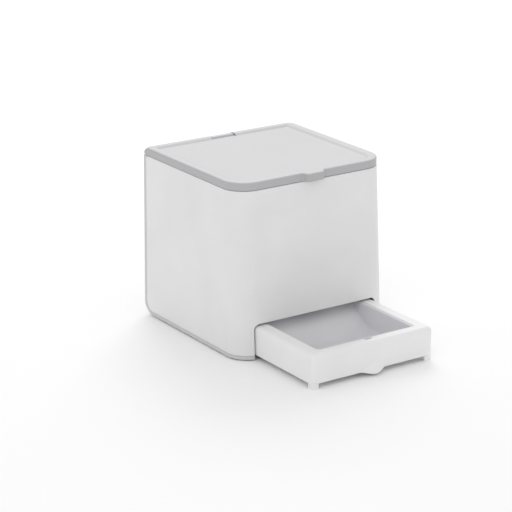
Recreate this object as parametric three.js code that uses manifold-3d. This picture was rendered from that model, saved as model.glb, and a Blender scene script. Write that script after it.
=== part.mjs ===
// Automatic pet feeder: a white cube-shaped housing with a grey hinged lid over a food hopper,
// a motor-driven portion disc, a chute, and a shallow food drawer that slides out of the front.
// Millimetres, +Z up, the drawer opens towards -Y. The origin is on the surface that the feeder
// stands on, under the middle of the box that holds the feeder with its drawer out.

import * as THREE from "three";
import { mergeVertices } from "three/addons/utils/BufferGeometryUtils.js";
import Module from "manifold-3d";

const wasm = await Module();
wasm.setup();

// ---- Driving dimensions -------------------------------------------------------------------

const gap = 0.3; // between pieces that touch
const runningGap = 0.6; // between pieces that move past each other
const overshoot = 1; // how far a cutting tool runs past what it cuts

const bodyWidth = 200; // at the top; the sides lean out towards the floor
const bodyDepth = 192; // at the top
const bodyHeight = 200; // lid included
const sideDraft = 2; // how far each side leans out at floor level
const frontRake = 10; // how far the front leans out at floor level
const frontCornerRadius = 27;
const backCornerRadius = 3;
const heelRadius = 20; // where the back turns into the base, seen from the side
const wall = 2.4;

const footHeight = 1.5;
const baseThickness = 4;
const backStrip = 7; // grey edge seen behind the white side
const backWall = 3;

const lidThickness = 9.5;
const lidGap = 0.8;
const lidPlate = 2.5;
const dishBorder = 8.5;
const dishSlope = 7.5;
const dishDepth = 2.6;
const tabWidth = 26;
const tabReach = 6.5;
const hingeNotchWidth = 32;
const hingeBlockLength = 16;
const pinRadius = 1.5;

const trayWidth = 161;
const trayReach = 114; // from the front at lid level to the drawer's front
const trayTail = 26; // part of the drawer that stays behind the front
const trayTop = 38.5;
const trayFloorGap = 5.6;
const trayRimSide = 15;
const trayRimFront = 12;
const trayRimBack = 6.5;
const trayWall = 2.2;
const trayCornerRadius = 4.5;
const rimRound = 5;
const trayLeg = 9;
const pullWidth = 30;
const pullReach = 6;
const pullHeight = 11;
const pullDrop = 2.5; // the lip hangs below the drawer's lower edge
const bayGapSide = 1.7;
const bayGapTop = 2.6;
const bayCornerRadius = 7;
const lugLength = 20;
const lugReach = 3.9;
const lugHeight = 6.4;
const lugBottom = 11.8;
const linerWall = 2;
const linerFloor = 12; // top of the bowl's flat floor
const rampRadius = 70;
const rampArc = 33; // degrees; the straight part goes on at this slope
const rampStart = 47; // where the ramp leaves the flat floor, in front of the front wall

const railSetback = 0.5; // behind the edge of the drawer's opening
const railDepth = 5.3;
const railWeb = 2;
const railTopHeight = 23;
const deckThickness = 2.6;
const deckHeight = 44;

const discRadius = 54.5;
const discThickness = 11;
const discHeight = 89;
const discSetback = 78; // disc axis behind the front at lid level
const pocketCount = 8;
const pocketRadius = 12.5;
const pocketCircle = 38;
const discHousingWall = 2.4;
const discHousingLip = 9;
const hubRadius = 10;
const shaftRadius = 3;
const gearModule = 1.25;
const gearTeeth = 32;
const pinionTeeth = 12;
const gearWidth = 7;
const gearBacklash = 0.45;
const gearBottom = 74;

const hopperWall = 2;
const hopperShoulder = 130;
const hopperFlange = 2.5;
const hopperMargin = 9;

const batteryRadius = 13.1;
const batteryLength = 50;
const batteryCaseWall = 2;
const batteryCaseBottom = 22;
const batteryPlay = 0.5;
const contactRoom = 3.5; // for the contacts at each end of a row of batteries
const doorMargin = 3.5;
const doorThickness = 2.4;

const boardThickness = 1.6;
const controlsHeight = 93;

// ---- Places that follow from them ---------------------------------------------------------

const frontY = (trayReach + pullReach - bodyDepth) / 2; // front face at lid level
const backY = frontY + bodyDepth;
const lidBottom = bodyHeight - lidThickness;
const shellTop = lidBottom - lidGap;
const baseTop = footHeight + baseThickness;
const trayHalf = trayWidth / 2;
const bayHalf = trayHalf + bayGapSide;
const railInside = bayHalf + railSetback;
const railOutside = railInside + railDepth;
const trayFront = frontY - trayReach;
const trayBack = frontY + trayTail;
const trayTravel = trayReach - frontRake; // closes the drawer flush with the front's foot
const bayEnd = trayBack + trayTravel + 4;
const discY = frontY + discSetback;
const gearRadius = (gearModule * gearTeeth) / 2;
const pinionRadius = (gearModule * pinionTeeth) / 2;
const pinionX = gearRadius + pinionRadius;
const hingeY = backY - lidThickness / 2;
const hingeZ = lidBottom + lidThickness / 2;
const deckTop = deckHeight + deckThickness;
const discFloor = discHeight - 1; // top of the disc housing's floor
const discHousingBottom = discFloor - discHousingWall;
const batteryCaseTop = batteryCaseBottom + 4 * batteryRadius + 3 * batteryPlay + 2 * batteryCaseWall;
const batteryCaseHalf = batteryLength + contactRoom + batteryCaseWall;
const batteryCaseBack = backY - backWall - gap;
const batteryCaseFront = batteryCaseBack - 2 * batteryRadius - 2 * batteryPlay - batteryCaseWall;
const batteryY = batteryCaseFront + batteryCaseWall + batteryPlay + batteryRadius;
const boardBottom = batteryCaseTop + 4;

const leanX = (z) => sideDraft * (1 - z / bodyHeight);
const leanY = (z) => frontRake * (1 - z / bodyHeight);
const halfWidthAt = (z) => bodyWidth / 2 + leanX(z);
const frontAt = (z) => frontY - leanY(z);

// ---- Geometry helpers ---------------------------------------------------------------------

const radians = (degrees) => (degrees * Math.PI) / 180;
const vec = (x, y) => new THREE.Vector2(x, y);

// A closed mesh as a solid that can be cut and joined.
function solid(geometry) {
  const bare = geometry.index ? geometry.toNonIndexed() : geometry.clone();
  bare.deleteAttribute("normal");
  bare.deleteAttribute("uv");
  const merged = mergeVertices(bare, 1e-4);
  return new wasm.Manifold(
    new wasm.Mesh({
      numProp: 3,
      vertProperties: merged.attributes.position.array,
      triVerts: new Uint32Array(merged.index.array),
    }),
  );
}

function geometryOf(made) {
  const mesh = made.getMesh();
  const geometry = new THREE.BufferGeometry();
  geometry.setAttribute("position", new THREE.BufferAttribute(mesh.vertProperties, 3));
  geometry.setIndex(new THREE.BufferAttribute(mesh.triVerts, 1));
  geometry.computeVertexNormals();
  return geometry;
}

const join = (first, ...rest) => rest.reduce((sum, piece) => sum.add(piece), first);
const cut = (first, ...rest) => rest.reduce((left, piece) => left.subtract(piece), first);

// Points of a rectangle with one radius per corner: back left, front left, front right, back right.
function roundedRectangle(x0, y0, x1, y1, radii, steps = 6) {
  const corners = [
    [x0 + radii[0], y1 - radii[0], radii[0], 90],
    [x0 + radii[1], y0 + radii[1], radii[1], 180],
    [x1 - radii[2], y0 + radii[2], radii[2], 270],
    [x1 - radii[3], y1 - radii[3], radii[3], 0],
  ];
  const points = [];
  for (const [cx, cy, r, start] of corners) {
    if (r === 0) {
      points.push(vec(cx, cy));
      continue;
    }
    for (let i = 0; i <= steps; i++) {
      const a = radians(start + (90 * i) / steps);
      points.push(vec(cx + r * Math.cos(a), cy + r * Math.sin(a)));
    }
  }
  return points;
}

// Joins outlines with the same number of points, each at its own height, into one closed solid.
function loft(sections) {
  const count = sections[0].points.length;
  const position = sections.flatMap(({ points, z }) => points.flatMap((p) => [p.x, p.y, z]));
  const index = [];
  for (let s = 0; s < sections.length - 1; s++) {
    for (let i = 0; i < count; i++) {
      const a = s * count + i;
      const b = s * count + ((i + 1) % count);
      index.push(a, b, b + count, a, b + count, a + count);
    }
  }
  const top = (sections.length - 1) * count;
  for (const [a, b, c] of THREE.ShapeUtils.triangulateShape(sections[0].points, [])) {
    index.push(c, b, a);
  }
  for (const [a, b, c] of THREE.ShapeUtils.triangulateShape(sections.at(-1).points, [])) {
    index.push(top + a, top + b, top + c);
  }
  const geometry = new THREE.BufferGeometry();
  geometry.setAttribute("position", new THREE.Float32BufferAttribute(position, 3));
  geometry.setIndex(index);
  return solid(geometry);
}

const prism = (points, z0, z1) => loft([{ points, z: z0 }, { points, z: z1 }]);

function block(x0, x1, y0, y1, z0, z1) {
  const geometry = new THREE.BoxGeometry(x1 - x0, y1 - y0, z1 - z0);
  geometry.translate((x0 + x1) / 2, (y0 + y1) / 2, (z0 + z1) / 2);
  return solid(geometry);
}

// A prism whose outline lies in the YZ plane, as seen from the right, and runs from x0 to x1.
function sidePrism(points, x0, x1) {
  const geometry = new THREE.ExtrudeGeometry(new THREE.Shape(points), {
    depth: x1 - x0,
    bevelEnabled: false,
  });
  geometry.applyMatrix4(new THREE.Matrix4().set(0, 0, 1, x0, 1, 0, 0, 0, 0, 1, 0, 0, 0, 0, 0, 1));
  return solid(geometry);
}

// A prism whose outline lies in the XZ plane, as seen from the front, and runs from y0 to y1.
function frontPrism(points, y0, y1) {
  const geometry = new THREE.ExtrudeGeometry(new THREE.Shape(points), {
    depth: y1 - y0,
    bevelEnabled: false,
  });
  geometry.applyMatrix4(new THREE.Matrix4().set(1, 0, 0, 0, 0, 0, -1, y1, 0, 1, 0, 0, 0, 0, 0, 1));
  return solid(geometry);
}

// A thin round lead through points.
function lead(points, radius, sides = 8) {
  const outline = [];
  for (let i = 0; i < sides; i++) {
    const a = (2 * Math.PI * i) / sides;
    outline.push(vec(radius * Math.cos(a), radius * Math.sin(a)));
  }
  const path = new THREE.CatmullRomCurve3(points.map((p) => new THREE.Vector3(...p)));
  const geometry = new THREE.ExtrudeGeometry(new THREE.Shape(outline), {
    steps: 6 * (points.length - 1),
    extrudePath: path,
  });
  return solid(geometry);
}

// Puts a box or cylinder that was made upright in its place, with its length along an axis.
function turned(geometry, axis, x, y, z) {
  if (axis === "z") geometry.rotateX(Math.PI / 2);
  if (axis === "x") geometry.rotateZ(-Math.PI / 2);
  geometry.translate(x, y, z);
  return solid(geometry);
}

// A round bar from one end to the other along an axis; the place is its low end.
function rod(axis, radius, length, x, y, z, sides = 24, endRadius = radius) {
  const geometry = new THREE.CylinderGeometry(endRadius, radius, length, sides);
  geometry.translate(0, length / 2, 0);
  return turned(geometry, axis, x, y, z);
}

// A ring-shaped or stepped round piece on a vertical axis, from [radius, height] pairs.
function lathe(profile, x, y, sides = 32) {
  const geometry = new THREE.LatheGeometry(profile.map(([r, z]) => vec(r, z)), sides);
  return turned(geometry, "z", x, y, 0);
}

// The outline between two heights of the leaning body, shrunk by an inset.
function bodyBlock(z0, z1, inset = 0, back = backY - inset) {
  const section = (z) => {
    const half = halfWidthAt(z) - inset;
    const front = Math.max(frontCornerRadius - inset, 1);
    const rear = Math.max(backCornerRadius - inset, 0.6);
    return {
      points: roundedRectangle(-half, frontAt(z) + inset, half, back, [rear, front, front, rear]),
      z,
    };
  };
  return loft([section(z0), section(z1)]);
}

// Side view of the room in front of the back wall and above the base; an inset shrinks it.
function roomProfile(back, floor, radius, inset, top) {
  const points = [vec(frontY - 60, top), vec(frontY - 60, floor + inset)];
  const steps = 7;
  for (let i = 0; i <= steps; i++) {
    const a = radians(-90 + (90 * i) / steps);
    const r = radius - inset;
    points.push(vec(back - radius + r * Math.cos(a), floor + radius + r * Math.sin(a)));
  }
  points.push(vec(back - inset, top));
  return points.reverse();
}

// ---- Pieces -------------------------------------------------------------------------------

const feeder = new THREE.Group();
feeder.name = "pet_feeder";

function add(name, made, colour, roughness = 0.5, metalness = 0) {
  const material = new THREE.MeshStandardMaterial({ color: colour, roughness, metalness });
  const mesh = new THREE.Mesh(geometryOf(made), material);
  mesh.name = name;
  feeder.add(mesh);
  return made;
}

const white = "#eeeeee";
const grey = "#c2c2c6";
const innerWhite = "#e2e2e2";
const steel = "#b8bcc0";
const black = "#222222";

// Places of the pieces that repeat on both sides or at four corners.
const sides = [-1, 1];
const bossX = (railOutside + bodyWidth / 2 - wall) / 2 - 0.6; // between a rail and the shell
const shellScrewYs = [frontY + 44, frontY + 138];
const deckScrewYs = [frontY + 68, frontY + 112];
const footX = 91;
const footYs = [frontY + 14, backY - 34];
const footRadius = 6;
const footSeat = 1.2;
const screwRadius = 1.5;
const screwHeadRadius = 2.9;
const screwHead = 1.8;
const bossRadius = 3.8;
const bossTop = 18;
const columnCircle = discRadius + 8;
const columnRadius = 4.2;
const columns = [30, 150, 210, 330].map((degrees) => ({
  x: columnCircle * Math.cos(radians(degrees)),
  y: discY + columnCircle * Math.sin(radians(degrees)),
}));
const shaftBossTop = deckTop + 10;

const outletY = discY - pocketCircle;
const outletRadius = pocketRadius + 0.3;
const flangeTop = discHeight + discThickness + 1;
const flangeRadius = discRadius + runningGap + discHousingWall + discHousingLip;
const hopperBottom = flangeTop + gap;
const hopperTop = shellTop - 1.7;
const hopperHalf = bodyWidth / 2 - hopperMargin;
const hopperFront = frontY + hopperMargin;
const hopperBack = backY - hopperMargin - 3;
const hopperMouthRadius = 20;

const lugHalf = hingeNotchWidth / 2 - runningGap;
const lugRadius = lidThickness / 2 - 0.4;
const chuteTop = discHousingBottom - gap;
const chuteBottom = deckHeight - 1;
const chuteWall = 1.8;
const motorX = pinionX;
const speakerX = 76;
const speakerZ = 60;
const speakerRadius = 14;
const switchX = -36;
const buttonX = -10;
const buttonRadius = 5.3;
const lensX = 8;
const lensRadius = 2;
const jackX = 40;
const jackRadius = 3.8;
const doorHalf = batteryCaseHalf - doorMargin;
const doorBottom = batteryCaseBottom + doorMargin;
const doorTop = batteryCaseTop - doorMargin;
const controlsRecess = 1.4;

// A screw that points up, with its head at the bottom, or down when flipped.
function screw(name, x, y, headZ, length, flip = false) {
  const head = flip ? headZ - screwHead : headZ;
  const shankZ = flip ? headZ - screwHead - length : headZ + screwHead;
  const drive = block(x - 1.6, x + 1.6, y - 0.35, y + 0.35, headZ - 0.7, headZ + 0.7);
  const cross = block(x - 0.35, x + 0.35, y - 1.6, y + 1.6, headZ - 0.7, headZ + 0.7);
  const body = join(
    rod("z", screwHeadRadius, screwHead, x, y, head, 12),
    rod("z", screwRadius, length + 0.1, x, y, flip ? shankZ : shankZ - 0.1, 8),
  );
  add(name, cut(body, drive, cross), steel, 0.35, 0.9);
}

// The hole for such a screw: its clearance bore and the room for its head.
const screwHole = (x, y, z0, z1) => rod("z", screwRadius + gap, z1 - z0, x, y, z0, 10);
const headRoom = (x, y, z0, z1) => rod("z", screwHeadRadius + gap, z1 - z0, x, y, z0, 12);

function makeRearBaseShell() {
  const half = bodyWidth / 2 + 20;
  const heel = roomProfile(backY, footHeight, heelRadius, 0, bodyHeight);
  const seam = roomProfile(backY - backStrip, baseTop, heelRadius - backStrip, 0, bodyHeight);
  const room = roomProfile(backY - backWall, baseTop, heelRadius - backWall, 0, bodyHeight);
  const roomHalf = bodyWidth / 2 - wall - gap;
  const leaf = cut(
    bodyBlock(footHeight, shellTop).intersect(sidePrism(heel, -half, half)),
    sidePrism(seam, -half, half),
    sidePrism(room, -roomHalf, roomHalf),
    block(-bayHalf, bayHalf, frontY - 40, bayEnd, 0, baseTop + 20),
  );
  const lug = join(
    rod("x", lugRadius, 2 * lugHalf, -lugHalf, hingeY, hingeZ, 32),
    block(-lugHalf, lugHalf, hingeY - 2, backY - 0.9, shellTop - 14, hingeZ),
  );
  const innerFace = backY - backWall - overshoot;
  const through = (x, radius, sideCount = 24) =>
    rod("y", radius + gap, backWall + 2 * overshoot, x, innerFace, controlsHeight, sideCount);
  const openings = [
    block(
      -doorHalf - runningGap,
      doorHalf + runningGap,
      backY - 10,
      backY + overshoot,
      doorBottom - gap,
      doorTop + runningGap,
    ),
    block(switchX - 9, switchX + 9, innerFace, backY + 1, controlsHeight - 6, controlsHeight + 6),
    through(buttonX, buttonRadius),
    through(lensX, lensRadius, 16),
    through(jackX, jackRadius),
    block(
      switchX - 14,
      jackX + 12,
      backY - controlsRecess,
      backY + overshoot,
      controlsHeight - 9,
      controlsHeight + 9,
    ),
    rod("x", pinRadius + gap, 60, -30, hingeY, hingeZ, 20),
  ];
  for (let i = -2; i <= 2; i++) {
    const reach = Math.sqrt(10 ** 2 - (4 * i) ** 2) - 1;
    openings.push(
      block(
        speakerX - reach,
        speakerX + reach,
        innerFace,
        backY + overshoot,
        speakerZ + 4 * i - 0.9,
        speakerZ + 4 * i + 0.9,
      ),
    );
  }
  for (const side of sides) {
    for (const y of footYs) {
      openings.push(rod("z", footRadius + gap, 5, side * footX, y, footHeight + footSeat - 5));
    }
    for (const y of [...shellScrewYs, ...deckScrewYs]) {
      openings.push(screwHole(side * bossX, y, 0, 20));
      openings.push(headRoom(side * bossX, y, -1, footHeight + screwHead + 0.4));
    }
  }
  add("rear_base_shell", cut(join(leaf, lug), ...openings), grey);
}

function makeFrontShell() {
  const half = bodyWidth / 2 + 20;
  const room = roomProfile(backY - backStrip, baseTop, heelRadius - backStrip, gap, bodyHeight);
  const skin = bodyBlock(baseTop + gap, shellTop, 0, backY).intersect(
    sidePrism(room, -half, half),
  );
  const inside = bodyBlock(0, bodyHeight, wall, backY + 10);
  const openingTop = trayTop + bayGapTop;
  const opening = frontPrism(
    roundedRectangle(-bayHalf, -20, bayHalf, openingTop, [bayCornerRadius, 0, 0, bayCornerRadius]),
    frontY - 40,
    frontY + 30,
  );
  const bosses = sides.flatMap((side) =>
    shellScrewYs.map((y) => {
      const edge = side * (halfWidthAt(0) - wall / 2);
      const x0 = Math.min(side * bossX, edge);
      const x1 = Math.max(side * bossX, edge);
      return join(
        rod("z", bossRadius, bossTop - baseTop - gap, side * bossX, y, baseTop + gap),
        block(x0, x1, y - 1, y + 1, baseTop + gap, bossTop),
      ).intersect(bodyBlock(0, bodyHeight, wall / 2));
    }),
  );
  const bores = sides.flatMap((side) =>
    shellScrewYs.map((y) => screwHole(side * bossX, y, 0, bossTop - 3)),
  );
  add("front_shell", cut(join(cut(skin, inside, opening), ...bosses), ...bores), white, 0.45);
}

function makeFeet() {
  let number = 1;
  for (const side of sides) {
    for (const y of footYs) {
      const top = footHeight + footSeat - gap;
      add(`foot_${number++}`, rod("z", footRadius - 0.6, top, side * footX, y, 0, 24, footRadius), "#8a8a8c", 0.9);
    }
  }
}

function makeHopper() {
  const section = (inset, z, halfX, front, back, radius) => ({
    points: roundedRectangle(
      -halfX + inset,
      front + inset,
      halfX - inset,
      back - inset,
      [radius, radius, radius, radius].map((r) => r - inset),
    ),
    z,
  });
  const mouth = discRadius + 1.5;
  const bin = (inset, low, high) =>
    loft([
      section(inset, low, mouth, discY - mouth, discY + mouth, mouth - 0.1),
      section(inset, hopperShoulder, hopperHalf, hopperFront, hopperBack, hopperMouthRadius),
      section(inset, high, hopperHalf, hopperFront, hopperBack, hopperMouthRadius),
    ]);
  const throat = discRadius - 1;
  const plate = rod("z", flangeRadius, hopperWall, 0, discY, hopperBottom, 48);
  const rim = bodyBlock(hopperTop - hopperWall, hopperTop, wall + 2 * gap, backY - backWall - gap);
  const lugNotch = block(
    -lugHalf - runningGap,
    lugHalf + runningGap,
    hingeY - 2 - runningGap,
    backY,
    hopperTop - 5,
    bodyHeight,
  );
  const guardAngle = radians(38);
  const guard = prism(
    [
      vec(0, discY),
      vec(-80 * Math.sin(guardAngle), discY - 80 * Math.cos(guardAngle)),
      vec(80 * Math.sin(guardAngle), discY - 80 * Math.cos(guardAngle)),
    ],
    hopperBottom,
    hopperBottom + hopperWall,
  ).intersect(rod("z", throat + 1, 4, 0, discY, hopperBottom, 40));
  const shaftRoom = rod("z", hubRadius + 2, 10, 0, discY, hopperBottom - 2, 24);
  const outer = cut(join(bin(0, hopperBottom, hopperTop), plate, rim), lugNotch);
  const hollow = bin(hopperWall, hopperBottom, hopperTop + 1);
  const opened = cut(outer, hollow, rod("z", throat, 10, 0, discY, hopperBottom - 2, 48));
  add("hopper", join(opened, cut(guard, shaftRoom)), innerWhite, 0.4);
}

function makeDiscHousing() {
  const inside = discRadius + runningGap;
  const outside = inside + discHousingWall;
  const cup = lathe(
    [
      [shaftRadius + gap, discHousingBottom],
      [outside, discHousingBottom],
      [outside, flangeTop - 2.4],
      [flangeRadius, flangeTop - 2.4],
      [flangeRadius, flangeTop],
      [inside, flangeTop],
      [inside, discFloor],
      [shaftRadius + gap, discFloor],
      [shaftRadius + gap, discHousingBottom],
    ],
    0,
    discY,
    40,
  );
  const legs = columns.map(({ x, y }) =>
    rod("z", columnRadius, flangeTop - 1 - deckTop - gap, x, y, deckTop + gap, 20),
  );
  const inner = rod("z", inside, 20, 0, discY, discFloor, 40);
  const bores = columns.map(({ x, y }) => screwHole(x, y, deckHeight, deckTop + 12));
  const outlet = rod("z", outletRadius, 10, 0, outletY, discHousingBottom - 5, 32);
  add("disc_housing", cut(join(cup, ...legs.map((leg) => cut(leg, inner))), outlet, ...bores), innerWhite, 0.4);
}

// An external spur gear with straight-sided teeth, turned by a part of a pitch.
function spurGear(teeth, x, y, z0, z1, bore, turn) {
  const pitch = (gearModule * teeth) / 2;
  const tip = pitch + gearModule * 0.95;
  const root = pitch - gearModule * 1.2;
  const step = (2 * Math.PI) / teeth;
  const play = gearBacklash / 2 / pitch;
  const outline = [];
  for (let i = 0; i < teeth; i++) {
    for (const [share, r] of [
      [-0.36, root],
      [-0.13, tip],
      [0.13, tip],
      [0.36, root],
    ]) {
      const a = (i + turn) * step + share * step - Math.sign(share) * play;
      outline.push(vec(x + r * Math.cos(a), y + r * Math.sin(a)));
    }
  }
  return cut(prism(outline, z0, z1), rod("z", bore, z1 - z0 + 2, x, y, z0 - 1, 20));
}

function makeDispenser() {
  const top = discHeight + discThickness;
  const pockets = [];
  for (let i = 0; i < pocketCount; i++) {
    const a = radians(-90 + (360 * i) / pocketCount);
    pockets.push(
      rod("z", pocketRadius, discThickness + 2, pocketCircle * Math.cos(a), discY + pocketCircle * Math.sin(a), discHeight - 1, 20),
    );
  }
  const bore = rod("z", shaftRadius + gap, 40, 0, discY, gearBottom - 5, 20);
  add("portion_disc", cut(rod("z", discRadius, discThickness, 0, discY, discHeight, 48), bore, ...pockets), "#8fa3b0", 0.5);
  add("drive_shaft", rod("z", shaftRadius, top + 10 - shaftBossTop + 6, 0, discY, shaftBossTop - 6, 20), steel, 0.3, 0.9);
  const gearTop = gearBottom + gearWidth;
  const hub = cut(rod("z", 8, discHousingBottom - gap - gearTop + 0.1, 0, discY, gearTop - 0.1, 20), bore);
  add("disc_gear", join(spurGear(gearTeeth, 0, discY, gearBottom, gearTop, shaftRadius + gap, 0), hub), "#e8e4d8", 0.5);
  const agitatorBottom = top + gap;
  const arms = [0, 120, 240].map((degrees) => {
    const a = radians(degrees + 30);
    const bar = new THREE.CylinderGeometry(1.8, 2.2, 40, 10);
    bar.translate(0, 20, 0);
    bar.rotateZ(-Math.PI / 2);
    bar.rotateZ(a);
    bar.translate(0, discY, agitatorBottom + 9.5);
    return solid(bar);
  });
  const dome = rod("z", hubRadius - 1, 12, 0, discY, agitatorBottom, 24, hubRadius - 3);
  const socket = rod("z", shaftRadius + gap, 10.3, 0, discY, agitatorBottom - 0.3, 20);
  add("agitator", cut(join(dome, ...arms), socket), "#8fa3b0", 0.5);
}

function makeMotor() {
  const bottom = deckTop + gap;
  const gearboxTop = gearBottom - 2;
  const body = join(
    rod("z", 12.5, 14, motorX, discY, bottom, 28),
    rod("z", 17, gearboxTop - bottom - 13.5, motorX, discY, bottom + 13.5, 32),
    block(motorX - 4, motorX + 24, discY - 7, discY + 7, bottom, bottom + 2),
    block(motorX + 18, motorX + 24, discY - 7, discY + 7, bottom, bottom + 20),
    block(motorX + 10, motorX + 24, discY - 7, discY + 7, bottom + 18, bottom + 20),
    rod("z", 2, gearWidth + 4, motorX, discY, gearboxTop - 1, 16),
  );
  const ears = [-4.5, 4.5].map((dy) => screwHole(motorX + 14.6, discY + dy, bottom - 1, bottom + 4));
  add("gear_motor", cut(body, ...ears), "#9a9da1", 0.4, 0.7);
  const turn = 0.5;
  const gear = spurGear(pinionTeeth, motorX, discY, gearBottom, gearBottom + gearWidth, 2 + gap, turn);
  add("motor_pinion", gear, "#c9a85a", 0.35, 0.8);
}

function makeDeck() {
  const plate = bodyBlock(deckHeight, deckTop, wall + 1, batteryCaseFront - 4);
  const posts = sides.flatMap((side) =>
    deckScrewYs.map((y) =>
      rod("z", bossRadius - 0.2, deckTop - baseTop - gap, side * bossX, y, baseTop + gap, 20),
    ),
  );
  const shaftBoss = rod("z", 6, shaftBossTop - deckHeight, 0, discY, deckHeight, 24);
  const holes = [
    rod("z", shaftRadius + gap, 20, 0, discY, shaftBossTop - 6.3, 20),
    block(-20, 20, frontY - 8, outletY - 12, deckHeight - 1, deckTop + 1),
    ...columns.flatMap(({ x, y }) => [screwHole(x, y, deckHeight - 5, deckTop + 1)]),
    ...sides.flatMap((side) =>
      deckScrewYs.map((y) => screwHole(side * bossX, y, 0, baseTop + 14)),
    ),
    ...[-4.5, 4.5].map((dy) => screwHole(motorX + 14.6, discY + dy, deckHeight - 1, deckTop + 1)),
  ];
  add("mechanism_deck", cut(join(plate, ...posts, shaftBoss), ...holes), innerWhite, 0.5);
}

function makeChute() {
  const section = (inset, z, half, front, back) => ({
    points: roundedRectangle(-half + inset, front + inset, half - inset, back - inset, [4, 4, 4, 4].map((r) => r - inset), 3),
    z,
  });
  const topFront = outletY - outletRadius - chuteWall - 0.7;
  const topBack = outletY + outletRadius + chuteWall + 0.5;
  const bottomFront = frontY - 3;
  const tube = (inset, low, high) =>
    loft([
      section(inset, low, 18, bottomFront, bottomFront + 24),
      section(inset, chuteTop - 8, 17, topFront - 4, topBack - 2.6),
      section(inset, high, 17, topFront, topBack),
    ]);
  const flange = block(-21, 21, topFront - 3, topBack, chuteTop - 2, chuteTop);
  const body = join(tube(0, chuteBottom, chuteTop), flange);
  add("chute", cut(body, tube(chuteWall, chuteBottom - 0.01, chuteTop + 0.01)), innerWhite, 0.4);
  const sensorZ = 58;
  const sensorY = bottomFront + 21;
  for (const side of sides) {
    const x = side * 18.6;
    const x1 = x + side * 6;
    add(
      side < 0 ? "sensor_emitter" : "sensor_receiver",
      join(
        block(Math.min(x, x1), Math.max(x, x1), sensorY - 5, sensorY + 5, sensorZ - 6, sensorZ + 6),
        rod("x", 2.5, 1.5, x1 - (side < 0 ? 1.4 : 0.1), sensorY, sensorZ, 16),
      ),
      black,
      0.5,
    );
  }
}

function makeBatteryBox() {
  const inHalf = batteryCaseHalf - batteryCaseWall;
  const box = join(
    block(-batteryCaseHalf, batteryCaseHalf, batteryCaseFront, batteryCaseBack, batteryCaseBottom, batteryCaseTop),
    ...sides.map((side) =>
      block(side * 42 - 4, side * 42 + 4, batteryCaseFront + 2, batteryCaseFront + 10, baseTop + gap, batteryCaseBottom + 1),
    ),
    ...sides.map((side) => rod("z", 3.2, boardBottom - gap - batteryCaseTop + 1, side * 50, batteryY, batteryCaseTop - 1, 16)),
  );
  const hollow = block(
    -inHalf,
    inHalf,
    batteryCaseFront + batteryCaseWall,
    batteryCaseBack + 1,
    batteryCaseBottom + batteryCaseWall,
    batteryCaseTop - batteryCaseWall,
  );
  const bores = sides.map((side) => screwHole(side * 50, batteryY, batteryCaseTop - 0.5, boardBottom));
  const leadHole = rod("y", 2.4, 6, -inHalf + 4, batteryCaseFront - 2, batteryCaseBottom + 28, 12);
  add("battery_case", cut(box, hollow, leadHole, ...bores), black, 0.6);

  const pitch = 2 * batteryRadius + batteryPlay;
  const firstZ = batteryCaseBottom + batteryCaseWall + batteryPlay + batteryRadius;
  let number = 1;
  for (const row of [0, 1]) {
    const direction = row === 0 ? 1 : -1;
    for (const place of [0, 1]) {
      const z = firstZ + row * pitch;
      const low = place === 0 ? -batteryLength - 0.2 : 0.2;
      const can = rod("x", batteryRadius, batteryLength - 1.5, direction > 0 ? low : low + 1.5, batteryY, z, 24);
      const nub = rod("x", 3.2, 1.7, direction > 0 ? low + batteryLength - 1.7 : low, batteryY, z, 12);
      add(`battery_${number++}`, join(can, nub), "#5c6f64", 0.4, 0.4);
    }
  }
  const plateX = inHalf - 0.3 - 0.5;
  const contact = (side, z0, z1, rows) =>
    join(
      block(Math.min(side * plateX, side * (plateX + 0.5)), Math.max(side * plateX, side * (plateX + 0.5)), batteryY - 6, batteryY + 6, z0, z1),
      ...rows.map((row) =>
        rod(
          "x",
          side > 0 ? 2 : 4.5,
          2.2,
          side > 0 ? plateX - 2.1 : -plateX - 0.1,
          batteryY,
          firstZ + row * pitch,
          16,
          side > 0 ? 4.5 : 2,
        ),
      ),
    );
  add("contact_bridge", contact(1, firstZ - 7, firstZ + pitch + 7, [0, 1]), steel, 0.3, 0.9);
  add("contact_minus", contact(-1, firstZ - 7, firstZ + 7, [0]), steel, 0.3, 0.9);
  add("contact_plus", contact(-1, firstZ + pitch - 7, firstZ + pitch + 7, [1]), steel, 0.3, 0.9);
}

function makeBatteryDoor() {
  const outer = backY - 0.2;
  const plate = block(-doorHalf, doorHalf, outer - doorThickness, outer, doorBottom, doorTop);
  const grip = block(-12, 12, outer - 1.2, outer + 1, doorTop - 7, doorTop - 2);
  const ribs = [-1, 0, 1].map((i) =>
    block(i * 34 - 0.8, i * 34 + 0.8, outer - doorThickness - 0.2, outer - 1, doorBottom + 3, doorTop - 3),
  );
  add("battery_door", cut(join(plate, ...ribs), grip), grey, 0.5);
}

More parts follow.
